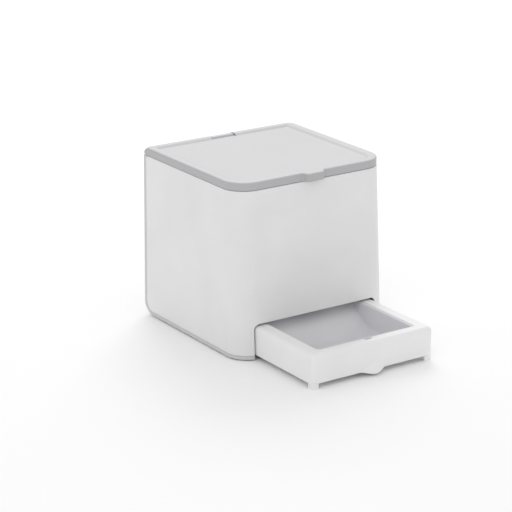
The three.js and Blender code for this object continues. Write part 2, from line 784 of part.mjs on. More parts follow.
function makeBoard() {
  const top = boardBottom + boardThickness;
  const front = batteryCaseFront - 6;
  const back = backY - backWall - 3.5;
  const board = join(
    block(-62, 62, front, back, boardBottom, top),
    block(-24, -12, front + 8, front + 20, top - 0.1, top + 1.8),
    block(16, 30, front + 4, front + 12, top - 0.1, top + 5),
    block(-58, -46, front + 3, front + 9, top - 0.1, top + 6),
    block(44, 58, front + 3, front + 9, top - 0.1, top + 6),
    block(buttonX - 3, buttonX + 3, back - 5, back - 1, top - 0.1, controlsHeight + 3),
    rod("z", 4, 9, -32, front + 14, top - 0.1, 16),
    rod("z", 3, 7, 26, front + 20, top - 0.1, 16),
    block(lensX - 3, lensX + 3, back - 4, back - 1, top - 0.1, controlsHeight + 2),
  );
  const bores = sides.map((side) => screwHole(side * 50, batteryY, boardBottom - 1, top + 1));
  add("circuit_board", cut(board, ...bores), "#2f6b45", 0.5);
  add(
    "wireless_module",
    join(
      block(-4, 12, back - 23, back - 6, top + gap, top + gap + 1),
      block(-2, 10, back - 21, back - 12, top + gap + 0.9, top + gap + 3.4),
    ),
    "#3a3f44",
    0.4,
    0.3,
  );
  for (const [i, side] of sides.entries()) {
    screw(`board_screw_${i + 1}`, side * 50, batteryY, top + gap + screwHead, 4, true);
  }
}

function makeRearControls() {
  const inner = backY - backWall;
  const lip = backY - controlsRecess;
  const frameSolid = join(
    block(switchX - 8.7, switchX + 8.7, inner - 12, lip + 1, controlsHeight - 5.7, controlsHeight + 5.7),
    block(switchX - 10.5, switchX + 10.5, lip + gap, lip + 1.1, controlsHeight - 7.5, controlsHeight + 7.5),
  );
  const well = block(switchX - 6.6, switchX + 6.6, inner - 5, backY + 1, controlsHeight - 4.4, controlsHeight + 4.4);
  add("power_switch", cut(frameSolid, well), black, 0.5);
  const pivotY = inner - 0.6;
  const rocker = sidePrism(
    [
      vec(pivotY - 1.4, controlsHeight - 2),
      vec(pivotY + 1.5, controlsHeight - 3.4),
      vec(pivotY + 2.4, controlsHeight - 3.4),
      vec(pivotY + 2.1, controlsHeight),
      vec(pivotY + 3.1, controlsHeight + 3.4),
      vec(pivotY + 1.5, controlsHeight + 3.4),
      vec(pivotY - 1.4, controlsHeight + 2),
    ],
    switchX - 6.2,
    switchX + 6.2,
  );
  add("power_rocker", rocker, black, 0.45);
  const button = join(
    rod("y", buttonRadius, lip + 1 - inner + 3, buttonX, inner - 3, controlsHeight),
    rod("y", buttonRadius + 1.6, 1.8, buttonX, inner - gap - 1.8, controlsHeight),
  );
  add("feed_button", button, "#6f8fa8", 0.45);
  const lens = join(
    rod("y", lensRadius, lip + 0.6 - inner + 2, lensX, inner - 2, controlsHeight, 16),
    rod("y", lensRadius + 1.2, 1.2, lensX, inner - gap - 1.2, controlsHeight, 16),
  );
  add("status_lens", lens, "#dfe8ee", 0.2);
  const jack = join(
    block(jackX - 6, jackX + 6, inner - 13, inner - gap, boardBottom + boardThickness + gap, controlsHeight + 5.5),
    rod("y", jackRadius, lip + 0.6 - inner + 2, jackX, inner - 2, controlsHeight),
  );
  const socket = cut(
    rod("y", 2.8, 14, jackX, inner - 9, controlsHeight, 20),
    rod("y", 0.9, 12, jackX, inner - 10, controlsHeight, 12),
  );
  add("dc_jack", cut(jack, socket), black, 0.5);
  const magnet = join(
    rod("y", speakerRadius, 2, speakerX, inner - gap - 2, speakerZ, 32),
    rod("y", 8, 4.1, speakerX, inner - gap - 6, speakerZ, 24, speakerRadius - 1),
    rod("y", 8, 4.1, speakerX, inner - gap - 10, speakerZ, 24),
  );
  add("speaker", magnet, "#4a4a4c", 0.4, 0.5);
}

function makeRails() {
  for (const side of sides) {
    const x = (value) => side * value;
    const span = (a, b, y0, y1, z0, z1) => block(Math.min(x(a), x(b)), Math.max(x(a), x(b)), y0, y1, z0, z1);
    const front = frontAt(0) + wall + 4;
    const rail = cut(
      span(railInside, railOutside, front, bayEnd - 1, baseTop + gap, railTopHeight),
      span(
        railInside - 1,
        railOutside - railWeb,
        front - 1,
        bayEnd,
        lugBottom - runningGap,
        lugBottom + lugHeight + runningGap,
      ),
    ).intersect(bodyBlock(0, bodyHeight, wall + runningGap));
    add(side < 0 ? "rail_left" : "rail_right", rail, innerWhite, 0.5);
  }
}

function trayOutline(inset, z) {
  const r = Math.max(trayCornerRadius - inset * 0.3, 1.2);
  return {
    points: roundedRectangle(
      -trayHalf + inset,
      trayFront + inset,
      trayHalf - inset,
      trayBack - inset,
      [r, r, r, r],
      4,
    ),
    z,
  };
}

const trayOpeningHalf = trayHalf - trayRimSide;
const trayOpeningFront = trayFront + trayRimFront;
const trayOpeningBack = trayBack - trayRimBack;
const rebate = 1.6; // the ledge that the bowl's flange rests on
const rebateDepth = 2.2;
const flangeThickness = 1.5;
const bowlCorner = 5;

function makeTrayFrame() {
  const sections = [trayOutline(0.8, trayFloorGap), trayOutline(0, trayFloorGap + 1.5)];
  for (let i = 0; i <= 4; i++) {
    const a = radians((90 * i) / 4);
    sections.push(trayOutline(rimRound * (1 - Math.cos(a)), trayTop - rimRound + rimRound * Math.sin(a)));
  }
  const outside = loft(sections);
  const hole = (grow, z0, z1) =>
    prism(
      roundedRectangle(
        -trayOpeningHalf - grow,
        trayOpeningFront - grow,
        trayOpeningHalf + grow,
        trayOpeningBack + grow,
        [bowlCorner, bowlCorner, bowlCorner, bowlCorner].map((r) => r + grow),
        5,
      ),
      z0,
      z1,
    );
  const cavity = block(
    -trayHalf + trayWall,
    trayHalf - trayWall,
    trayFront + trayWall,
    trayBack - trayWall,
    trayFloorGap + 2,
    trayTop - 4.2,
  );
  const legs = sides.map((side) => {
    const x = side * (trayHalf - trayLeg / 2 - 0.8);
    return block(x - trayLeg / 2, x + trayLeg / 2, trayFront + 0.8, trayFront + 0.8 + trayLeg, 0, trayFloorGap + 3);
  });
  const lugs = sides.map((side) => {
    const x = side * (trayHalf + lugReach / 2 - 0.5);
    const halfReach = lugReach / 2 + 0.5;
    return block(x - halfReach, x + halfReach, trayBack - 1 - lugLength, trayBack - 1, lugBottom, lugBottom + lugHeight);
  });
  const pull = prism(
    [
      vec(-pullWidth / 2, trayFront + 1),
      vec(-pullWidth / 2 + 4, trayFront - pullReach + 1.2),
      vec(-pullWidth / 2 + 6.5, trayFront - pullReach),
      vec(pullWidth / 2 - 6.5, trayFront - pullReach),
      vec(pullWidth / 2 - 4, trayFront - pullReach + 1.2),
      vec(pullWidth / 2, trayFront + 1),
    ],
    trayFloorGap - pullDrop,
    trayFloorGap - pullDrop + pullHeight,
  );
  const thumb = block(-5.5, 5.5, trayOpeningFront - 3, trayOpeningFront + 5, trayTop - 1.8, trayTop + 1);
  const frame = cut(
    join(outside, ...legs, ...lugs, pull),
    hole(0, trayTop - rebateDepth, trayTop + 1),
    hole(-rebate, trayTop - 10, trayTop),
    cavity,
    thumb,
  );
  add("tray_frame", frame, white, 0.4);
}

// Side view of the space above the bowl's floor and ramp; a positive drop moves it down.
function rampProfile(drop, top) {
  const start = frontY - rampStart;
  const centreZ = linerFloor + rampRadius;
  const points = [vec(trayOpeningFront - 20, top), vec(trayOpeningFront - 20, linerFloor - drop)];
  const steps = 6;
  for (let i = 0; i <= steps; i++) {
    const a = radians((rampArc * i) / steps);
    const r = rampRadius + drop;
    points.push(vec(start + r * Math.sin(a), centreZ - r * Math.cos(a)));
  }
  const end = points.at(-1);
  const rise = top - end.y;
  points.push(vec(end.x + rise / Math.tan(radians(rampArc)), top));
  return points.reverse();
}

function makeBowlLiner() {
  const top = trayTop - rebateDepth + gap + flangeThickness;
  const section = (grow, z) => ({
    points: roundedRectangle(
      -trayOpeningHalf - grow,
      trayOpeningFront - grow,
      trayOpeningHalf + grow,
      trayOpeningBack + grow,
      [bowlCorner, bowlCorner, bowlCorner, bowlCorner].map((r) => Math.max(r + grow, 2)),
      5,
    ),
    z,
  });
  const bodyGrow = -rebate - gap;
  const floorBottom = linerFloor - linerWall;
  const shell = (inset, low, high) =>
    loft([section(bodyGrow - 3 - inset, low), section(bodyGrow - inset, high)]);
  const outside = join(
    shell(0, floorBottom, top),
    prism(section(-gap, 0).points, top - flangeThickness, top),
  );
  const width = 2 * trayWidth;
  const under = cut(
    block(-width, width, trayFront, trayBack + 20, -10, top - flangeThickness - 1),
    sidePrism(rampProfile(linerWall, bodyHeight), -width, width),
  ).intersect(shell(linerWall, floorBottom - 0.01, top));
  const above = shell(linerWall, linerFloor - 0.01, top + 0.01).intersect(
    sidePrism(rampProfile(0, bodyHeight), -width, width),
  );
  add("bowl_liner", cut(outside, above, under), "#b9b9bd", 0.45);
}

function makeLid() {
  const edge = (inset, z) => {
    const front = frontCornerRadius - inset;
    const half = bodyWidth / 2 - inset;
    return {
      points: roundedRectangle(-half, frontY + inset, half, backY - inset, [
        backCornerRadius + 1,
        front,
        front,
        backCornerRadius + 1,
      ]),
      z,
    };
  };
  const round = 2;
  const sections = [edge(0.6, lidBottom), edge(0, lidBottom + 0.8)];
  for (let i = 0; i <= 3; i++) {
    const a = radians(30 * i);
    sections.push(edge(round * (1 - Math.cos(a)), bodyHeight - round + round * Math.sin(a)));
  }
  const tab = frontPrism(
    roundedRectangle(-tabWidth / 2, lidBottom + 1, tabWidth / 2, bodyHeight - 0.8, [2, 3, 3, 2], 3),
    frontY - tabReach,
    frontY + 5,
  );
  const tabPlan = prism(
    roundedRectangle(-tabWidth / 2, frontY - tabReach, tabWidth / 2, frontY + 8, [0, 5, 5, 0], 5),
    0,
    bodyHeight,
  );
  // The back edge is round about the pin, so that the lid clears the shell as it opens.
  const backRound = join(
    block(-bodyWidth, bodyWidth, frontY - 50, hingeY, 0, bodyHeight + 1),
    rod("x", lidThickness / 2, 2 * bodyWidth, -bodyWidth, hingeY, hingeZ, 40),
  );
  const dish = loft([
    edge(dishBorder + dishSlope, bodyHeight - dishDepth),
    edge(dishBorder + dishSlope * 0.75, bodyHeight - dishDepth * 0.93),
    edge(dishBorder + dishSlope * 0.3, bodyHeight - dishDepth * 0.45),
    edge(dishBorder, bodyHeight + 0.01),
  ]);
  const inset = 3;
  const hollow = loft([edge(inset, lidBottom - 1), edge(inset, bodyHeight - dishDepth - lidPlate)]);
  const hingeRoom = block(-bodyWidth, bodyWidth, hingeY - 6, backY, 0, bodyHeight);
  const reliefHalf = hingeNotchWidth / 2;
  const notch = block(-reliefHalf, reliefHalf, hingeY - lugRadius - 1, backY + 5, 0, bodyHeight + 5);
  const bore = rod("x", pinRadius + gap, 2 * (reliefHalf + hingeBlockLength), -reliefHalf - hingeBlockLength, hingeY, hingeZ, 20);
  const body = join(loft(sections), tab.intersect(tabPlan)).intersect(backRound);
  add("lid", cut(body, dish, cut(hollow, hingeRoom), notch, bore), grey, 0.45);
  add(
    "hinge_pin",
    rod("x", pinRadius, 2 * (reliefHalf + hingeBlockLength) - 1.6, -reliefHalf - hingeBlockLength + 0.8, hingeY, hingeZ, 16),
    steel,
    0.3,
    0.9,
  );
  const sealOuter = runningGap + hopperWall;
  const ring = (shrink) =>
    roundedRectangle(
      -hopperHalf + shrink,
      hopperFront + shrink,
      hopperHalf - shrink,
      hopperBack - shrink,
      [1, 1, 1, 1].map(() => hopperMouthRadius - shrink),
      5,
    );
  const sealTop = bodyHeight - dishDepth - lidPlate - gap;
  add(
    "lid_seal",
    cut(prism(ring(sealOuter), hopperTop - 3, sealTop), prism(ring(sealOuter + 3), 0, bodyHeight)),
    "#d8d8da",
    0.9,
  );
}

function makeScrews() {
  let shellNumber = 1;
  let deckNumber = 1;
  for (const side of sides) {
    for (const y of shellScrewYs) {
      screw(`shell_screw_${shellNumber++}`, side * bossX, y, footHeight + 0.3, 9);
    }
    for (const y of deckScrewYs) {
      screw(`deck_screw_${deckNumber++}`, side * bossX, y, footHeight + 0.3, 11);
    }
  }
  for (const [i, { x, y }] of columns.entries()) {
    screw(`disc_housing_screw_${i + 1}`, x, y, deckHeight - screwHead - gap, 12);
  }
  for (const [i, dy] of [-4.5, 4.5].entries()) {
    screw(`motor_screw_${i + 1}`, motorX + 14.6, discY + dy, deckHeight - screwHead - gap, 4.4);
  }
}

function makeLeads() {
  const boardTop = boardBottom + boardThickness;
  const front = batteryCaseFront - 6;
  add(
    "motor_lead",
    lead(
      [
        [motorX + 8, discY + 13, deckTop + 7],
        [motorX + 9, discY + 34, deckTop + 3],
        [motorX + 14, front - 12, deckTop + 8],
        [51, front - 5, boardTop],
        [51, front + 2.5, boardTop + 3],
      ],
      1.2,
    ),
    "#a33a32",
    0.6,
  );
  add(
    "speaker_lead",
    lead(
      [
        [speakerX, backY - backWall - 12.5, speakerZ],
        [speakerX - 2, backY - 22, speakerZ + 8],
        [speakerX - 8, backY - 20, boardTop + 2],
        [63.5, backY - 19, boardTop + 1.5],
      ],
      1,
    ),
    "#33363a",
    0.6,
  );
}

makeRearBaseShell();
makeFrontShell();
makeFeet();
makeHopper();
makeDiscHousing();
makeDispenser();
makeMotor();
makeDeck();
makeChute();
makeBatteryBox();
makeBatteryDoor();
makeBoard();
makeRearControls();
makeRails();
makeTrayFrame();
makeBowlLiner();
makeLid();
makeScrews();
makeLeads();

export default feeder;
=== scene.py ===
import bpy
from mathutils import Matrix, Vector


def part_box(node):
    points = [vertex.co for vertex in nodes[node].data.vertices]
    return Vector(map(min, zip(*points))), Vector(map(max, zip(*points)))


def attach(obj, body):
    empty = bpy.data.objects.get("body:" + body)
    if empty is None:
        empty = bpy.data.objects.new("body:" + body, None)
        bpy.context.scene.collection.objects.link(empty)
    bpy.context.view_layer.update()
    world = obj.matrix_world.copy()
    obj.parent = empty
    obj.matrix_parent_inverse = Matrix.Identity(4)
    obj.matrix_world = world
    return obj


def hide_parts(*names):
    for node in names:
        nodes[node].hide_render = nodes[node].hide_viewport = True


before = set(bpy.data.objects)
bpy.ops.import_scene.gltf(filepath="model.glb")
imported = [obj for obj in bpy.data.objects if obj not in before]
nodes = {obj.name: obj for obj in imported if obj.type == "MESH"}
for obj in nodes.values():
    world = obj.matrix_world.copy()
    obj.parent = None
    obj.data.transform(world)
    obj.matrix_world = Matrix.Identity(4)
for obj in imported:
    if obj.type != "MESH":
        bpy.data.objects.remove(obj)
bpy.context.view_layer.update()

import math
import bpy
import bmesh
from mathutils import Matrix, Vector

room = bpy.context.scene.collection


# camera and floor

shot = {"azimuth": 34.04, "elevation": 18.54, "distance": 2.3352, "lens": 144.37, "aim": (-0.01104, 0.05842, 0.07858)}


def placeCamera():
    a, e = math.radians(shot["azimuth"]), math.radians(shot["elevation"])
    ahead = Vector((math.sin(a) * math.cos(e), math.cos(a) * math.cos(e), -math.sin(e)))
    camera = bpy.data.cameras.new("camera")
    camera.lens = shot["lens"]
    camera.sensor_width = 36
    camera.clip_end = 100
    holder = bpy.data.objects.new("camera", camera)
    holder.location = Vector(shot["aim"]) - ahead * shot["distance"]
    holder.rotation_euler = ahead.to_track_quat("-Z", "Y").to_euler()
    room.objects.link(holder)
    bpy.context.scene.camera = holder


placeCamera()
print("camera placed")


# materials

def newMaterial(name):
    material = bpy.data.materials.new(name)
    material.use_nodes = True
    return material, material.node_tree, material.node_tree.nodes["Principled BSDF"]


def addNode(tree, kind, links=None, **settings):
    made = tree.nodes.new(kind)
    for key, value in settings.items():
        setattr(made, key, value)
    for socket, value in (links or {}).items():
        target = made.inputs[socket]
        if isinstance(value, bpy.types.NodeSocket):
            tree.links.new(value, target)
        else:
            target.default_value = value
    return made


def objectPlace(tree):
    return addNode(tree, "ShaderNodeTexCoord").outputs["Object"]


def noise(tree, place, scale, detail=2.0, rough=0.5):
    links = {"Vector": place, "Scale": scale, "Detail": detail, "Roughness": rough}
    return addNode(tree, "ShaderNodeTexNoise", links).outputs["Fac"]


def mathNode(tree, operation, *values):
    return addNode(tree, "ShaderNodeMath", dict(enumerate(values)), operation=operation).outputs[0]


def tint(colour, factor):
    return (*[min(1, channel * factor) for channel in colour], 1)


def paintFrom(tree, shader, factor, low, high, span=(0.0, 1.0)):
    # the base colour drifts from low to high over that span of the factor
    paint = addNode(tree, "ShaderNodeValToRGB", {"Fac": factor})
    for element, position, colour in zip(paint.color_ramp.elements, span, (low, high)):
        element.position = position
        element.color = colour
    tree.links.new(paint.outputs["Color"], shader.inputs["Base Color"])


def glossFrom(tree, shader, value, low, high):
    gloss = addNode(tree, "ShaderNodeMapRange", {"Value": value, "To Min": low, "To Max": high})
    tree.links.new(gloss.outputs["Result"], shader.inputs["Roughness"])


def bumpFrom(tree, shader, height, strength, distance, **under):
    links = {"Height": height, "Strength": strength, "Distance": distance, **under}
    bump = addNode(tree, "ShaderNodeBump", links)
    tree.links.new(bump.outputs["Normal"], shader.inputs["Normal"])


def mouldedPlastic(name, colour, rough=0.42, grain=0.45, depth=0.00002, mottle=0.03):
    # spark-eroded grain, slow sink marks and a faint drift of colour and gloss
    material, tree, shader = newMaterial(name)
    place = objectPlace(tree)
    drift = noise(tree, place, 14.0, 3.0)
    paintFrom(tree, shader, drift, tint(colour, 1 - mottle), tint(colour, 1 + mottle), (0.3, 0.72))
    sheen = noise(tree, place, 55.0, 5.0, 0.6)
    glossFrom(tree, shader, sheen, rough - 0.06, rough + 0.07)
    fine = noise(tree, place, 1000.0 / grain, 3.0, 0.65)
    pits = addNode(tree, "ShaderNodeTexVoronoi", {"Vector": place, "Scale": 620.0 / grain})
    both = mathNode(tree, "ADD", fine, pits.outputs["Distance"])
    slow = noise(tree, place, 24.0, 1.0)
    wave = addNode(tree, "ShaderNodeBump", {"Height": slow, "Strength": 0.12, "Distance": 0.0012})
    bumpFrom(tree, shader, both, 0.5, depth, Normal=wave.outputs["Normal"])
    shader.inputs["IOR"].default_value = 1.5
    return material


def brushedMetal(name, colour, rough=0.3, stretch=(1, 1, 12)):
    material, tree, shader = newMaterial(name)
    place = objectPlace(tree)
    streaks = addNode(tree, "ShaderNodeMapping", {"Vector": place, "Scale": stretch})
    lines = noise(tree, streaks.outputs["Vector"], 180.0, 4.0)
    stains = noise(tree, place, 60.0, 4.0)
    paintFrom(tree, shader, stains, tint(colour, 0.88), tint(colour, 1.06))
    glossFrom(tree, shader, lines, rough - 0.1, rough + 0.12)
    bumpFrom(tree, shader, lines, 0.25, 0.00002)
    shader.inputs["Metallic"].default_value = 1.0
    return material


def softRubber(name, colour):
    material, tree, shader = newMaterial(name)
    place = objectPlace(tree)
    dust = noise(tree, place, 90.0, 6.0)
    paintFrom(tree, shader, dust, tint(colour, 0.9), tint(colour, 1.12))
    bumpFrom(tree, shader, dust, 0.3, 0.00005)
    shader.inputs["Roughness"].default_value = 0.82
    return material


def boardMask(name, colour):
    # solder mask with a faint pattern of tracks
    material, tree, shader = newMaterial(name)
    place = objectPlace(tree)
    tracks = addNode(tree, "ShaderNodeTexBrick", {
        "Vector": place, "Scale": 220.0, "Mortar Size": 0.03,
        "Color1": tint(colour, 1.0), "Color2": tint(colour, 0.82), "Mortar": tint(colour, 1.9)})
    tree.links.new(tracks.outputs["Color"], shader.inputs["Base Color"])
    bumpFrom(tree, shader, tracks.outputs["Fac"], 0.3, 0.00004)
    shader.inputs["Roughness"].default_value = 0.3
    return material


def batteryFilm(name, low, high):
    # a dark glossy sleeve with a little wear
    material, tree, shader = newMaterial(name)
    place = objectPlace(tree)
    wear = noise(tree, place, 120.0, 4.0)
    paintFrom(tree, shader, wear, (*low, 1), (*high, 1))
    glossFrom(tree, shader, wear, 0.22, 0.36)
    return material


finish = {
    "shell": mouldedPlastic("white_shell", (0.785, 0.785, 0.785), rough=0.4),
    "lid": mouldedPlastic("grey_lid", (0.56, 0.56, 0.57), rough=0.45, mottle=0.02),
    # painted shade: a darker copy of the lid's own grey, used on its upright sides so they look less lit than the top
    "lidPaintedSideShade": mouldedPlastic("grey_lid_painted_side_shade", (0.455, 0.455, 0.465), rough=0.45, mottle=0.02),
    "back": mouldedPlastic("grey_back", (0.585, 0.585, 0.6), rough=0.46),
    "drawer": mouldedPlastic("white_drawer", (0.84, 0.84, 0.84), rough=0.34, depth=0.000012),
    "bowl": mouldedPlastic("grey_bowl", (0.70, 0.70, 0.725), rough=0.36, depth=0.000012),
    "inner": mouldedPlastic("inner_plastic", (0.78, 0.78, 0.77), rough=0.4),
    "disc": mouldedPlastic("disc_plastic", (0.2, 0.27, 0.33), rough=0.38),
    "gear": mouldedPlastic("gear_acetal", (0.78, 0.75, 0.65), rough=0.35),
    "black": mouldedPlastic("black_plastic", (0.022, 0.022, 0.024), rough=0.45, mottle=0.15),
    "button": mouldedPlastic("button_plastic", (0.12, 0.22, 0.34), rough=0.35),
    "module": mouldedPlastic("module_shield", (0.2, 0.2, 0.21), rough=0.3),
    "redLead": mouldedPlastic("lead_red", (0.4, 0.03, 0.02), rough=0.4),
    "blackLead": mouldedPlastic("lead_black", (0.02, 0.02, 0.02), rough=0.4),
    "lens": mouldedPlastic("clear_lens", (0.7, 0.78, 0.85), rough=0.12, depth=0.000004),
    "foot": softRubber("foot_rubber", (0.2, 0.2, 0.21)),
    "seal": softRubber("seal_silicone", (0.55, 0.55, 0.57)),
    "steel": brushedMetal("zinc_steel", (0.6, 0.61, 0.63)),
    "motor": brushedMetal("motor_steel", (0.42, 0.43, 0.45), stretch=(1, 1, 20)),
    "brass": brushedMetal("pinion_brass", (0.7, 0.5, 0.22)),
    "board": boardMask("board_green", (0.02, 0.14, 0.06)),
    "battery": batteryFilm("battery_sleeve", (0.05, 0.1, 0.09), (0.09, 0.17, 0.15)),
}
print("materials made")


# mesh helpers

def newPiece(name, mesh, material):
    piece = bpy.data.objects.new(name, mesh)
    room.objects.link(piece)
    mesh.materials.clear()
    mesh.materials.append(material)
    return piece


def cornerFrame(corners, i):
    # a corner's place, the directions into it and out of it, and which way they turn
    here = Vector(corners[i][:2])
    before = (here - Vector(corners[i - 1][:2])).normalized()
    after = (Vector(corners[(i + 1) % len(corners)][:2]) - here).normalized()
    return here, before, after, before.x * after.y - before.y * after.x


def filletPath(corners, steps=10):
    # corners of a closed outline, counterclockwise, as (x, y, radius)
    # a corner on a straight stretch spreads its points along it
    points = []
    for i, (x, y, r) in enumerate(corners):
        here, before, after, turn = cornerFrame(corners, i)
        if r == 0:
            points.append(here)
            continue
        if abs(turn) < 1e-4:
            points += [here + before * r * (2 * k / steps - 1) for k in range(steps + 1)]
            continue
        angle = math.atan2(turn, before.dot(after))
        reach = r * math.tan(abs(angle) / 2)
        side = 1 if turn > 0 else -1
        centre = here - before * reach + Vector((-before.y, before.x)) * r * side
        spoke = here - before * reach - centre
        for k in range(steps + 1):
            a = angle * k / steps
            c, s = math.cos(a), math.sin(a)
            points.append(centre + Vector((spoke.x * c - spoke.y * s, spoke.x * s + spoke.y * c)))
    return points


def shrink(corners, inset, least=0.0004):
    # the same outline moved inwards
    moved = []
    for i, (x, y, r) in enumerate(corners):
        here, before, after, turn = cornerFrame(corners, i)
        sideA, sideB = Vector((-before.y, before.x)), Vector((-after.y, after.x))
        at = here + (sideA + sideB) / (1 + sideA.dot(sideB)) * inset
        sharp = r == 0 or abs(turn) < 1e-4
        radius = r if sharp else max(r - inset if turn > 0 else r + inset, least)
        moved.append((at.x, at.y, radius))
    return moved


def box4(x0, y0, x1, y1, front, back):
    return [(x0, y0, front), (x1, y0, front), (x1, y1, back), (x0, y1, back)]


def skinRows(made, rows):
    # faces between neighbouring rows of vertices, and a cap on the first row
    count = len(rows[0])
    for low, high in zip(rows, rows[1:]):
        for i in range(count):
            j = (i + 1) % count
            made.faces.new((low[i], low[j], high[j], high[i]))
    made.faces.new(list(reversed(rows[0])))


def meshFrom(made, name):
    mesh = bpy.data.meshes.new(name)
    made.to_mesh(mesh)
    made.free()
    return mesh


def loft(rings):
    # a closed skin over rings of 3-D points, the same count in each, capped at both ends
    made = bmesh.new()
    rows = [[made.verts.new(p) for p in ring] for ring in rings]
    skinRows(made, rows)
    made.faces.new(rows[-1])
    return meshFrom(made, "loft")


def ringAt(path, z):
    return [(p.x, p.y, z) for p in path]


def prism(points, low, high, axis="z"):
    # a closed bar with that outline: (x, y) along z, (y, z) along x, or (x, z) along y
    if axis == "z":
        return loft([[(a, b, low) for a, b in points], [(a, b, high) for a, b in points]])
    if axis == "x":
        return loft([[(low, a, b) for a, b in points], [(high, a, b) for a, b in points]])
    return loft([[(a, high, b) for a, b in points], [(a, low, b) for a, b in points]])


def brick(x0, x1, y0, y1, z0, z1):
    return prism([(x0, y0), (x1, y0), (x1, y1), (x0, y1)], z0, z1)


def bar(axis, radius, low, high, centre, sides=48):
    angles = [2 * math.pi * k / sides for k in range(sides)]
    ring = [(radius * math.cos(a) + centre[0], radius * math.sin(a) + centre[1]) for a in angles]
    return prism(ring, low, high, axis)


def turned(profile, centre, axis="z", sides=64):
    # profile of (radius, height) pairs that closes on the axis, turned about it
    made = bmesh.new()
    verts = [made.verts.new((r, 0, z)) for r, z in profile]
    edges = [made.edges.new(pair) for pair in zip(verts, verts[1:])]
    bmesh.ops.spin(made, geom=verts + edges, axis=(0, 0, 1), cent=(0, 0, 0), angle=2 * math.pi, steps=sides,
                   use_merge=True)
    bmesh.ops.remove_doubles(made, verts=made.verts, dist=1e-7)
    bmesh.ops.recalc_face_normals(made, faces=made.faces)
    mesh = meshFrom(made, "turned")
    if axis == "x":
        mesh.transform(Matrix.Rotation(math.radians(90), 4, "Y"))
    mesh.transform(Matrix.Translation(centre))
    return mesh


def plainMesh(piece):
    # its mesh with the modifiers applied
    return bpy.data.meshes.new_from_object(piece.evaluated_get(bpy.context.evaluated_depsgraph_get()))


def carve(mesh, cuts):
    # each cut is a mesh to take away, or a pair of a mesh and UNION or INTERSECT
    body = bpy.data.objects.new("carved", mesh)
    room.objects.link(body)
    cutters = []
    for cut in cuts:
        shape, operation = cut if isinstance(cut, tuple) else (cut, "DIFFERENCE")
        cutter = bpy.data.objects.new("cutter", shape)
        room.objects.link(cutter)
        cutters.append(cutter)
        step = body.modifiers.new("cut", "BOOLEAN")
        step.solver = "EXACT"
        step.operation = operation
        step.object = cutter
    made = plainMesh(body)
    for used in cutters + [body]:
        bpy.data.objects.remove(used)
    return made


def smoothAll(piece):
    for face in piece.data.polygons:
        face.use_smooth = True


def softenEdges(piece, width, segments=3, angle=38, weld=0.0):
    if weld:
        step = piece.modifiers.new("weld", "WELD")
        step.merge_threshold = weld
    step = piece.modifiers.new("edges", "BEVEL")
    step.width = width
    step.segments = segments
    step.limit_method = "ANGLE"
    step.angle_limit = math.radians(angle)
    step.miter_outer = "MITER_ARC"
    smooth = piece.modifiers.new("shading", "WEIGHTED_NORMAL")
    smooth.weight = 80
    smoothAll(piece)


def finishPiece(piece, body, *replaced):
    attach(piece, body)
    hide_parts(*replaced)


# housing: the sizes that its two shells share

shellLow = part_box("front_shell")[0]
rearLow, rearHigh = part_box("rear_base_shell")
lidLow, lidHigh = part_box("lid")
housing = {
    "height": lidHigh.z, "halfWidth": lidHigh.x, "backY": rearHigh.y, "depth": 0.192, "draft": 0.002, "rake": 0.010,
    "frontRadius": 0.027, "backRadius": 0.003, "heel": 0.020, "wall": 0.0024, "base": 0.004, "strip": 0.007,
    "backWall": 0.003, "topRound": 0.0008, "cornerRound": 0.005, "seam": 0.00012, "lidGap": 0.0004, "fit": 0.0003,
    "bayHalf": 0.0822, "bayTop": 0.0411, "bayRadius": 0.007, "bayEnd": 0.098, "edge": 0.0004,
    "doorGap": 0.0006, "doorFoot": 0.0003, "doorRadius": 0.0022, "doorDeep": 0.01,
}
cutReach = 0.15  # half the length of a cutter that goes right across
over = 0.001  # how far a cutter stands out of what it cuts
frontY = housing["backY"] - housing["depth"]
shellTop = lidLow.z - housing["lidGap"]
baseTop = rearLow.z + housing["base"]


def bodyPath(z, inset=0.0, back=None, steps=18):
    lean = 1 - z / housing["height"]
    half = housing["halfWidth"] + housing["draft"] * lean
    front = frontY - housing["rake"] * lean
    radius = max(housing["backRadius"] - inset, 0.0006)
    corners = box4(-half + inset, front + inset, half - inset, (housing["backY"] - inset) if back is None else back,
                   housing["frontRadius"] - inset, radius)
    return filletPath(corners, steps)


def sideProfile(back, floor, radius, inset, topRadius=0.0, top=0.26):
    # side view of the room in front of the back wall and above the base
    arc = []
    for k in range(25):
        a = math.radians(-90 + 90 * k / 24)
        r = radius - inset
        arc.append((back - radius + r * math.cos(a), floor + radius + r * math.sin(a)))
    for k in range(13 if topRadius else 0):
        a = math.radians(90 * k / 12)
        arc.append((back - inset - topRadius * (1 - math.cos(a)), shellTop - topRadius * (1 - math.sin(a))))
    return [(frontY - 0.06, floor + inset), *arc, (back - inset - topRadius, top), (frontY - 0.06, top)]


def sideRoom(depth, floor, half, inset=0.0, topRadius=0.0):
    # that room as a solid, at some depth inside the back
    outline = sideProfile(housing["backY"] - depth, floor, housing["heel"] - depth, inset, topRadius)
    return prism(outline, -half, half, "x")


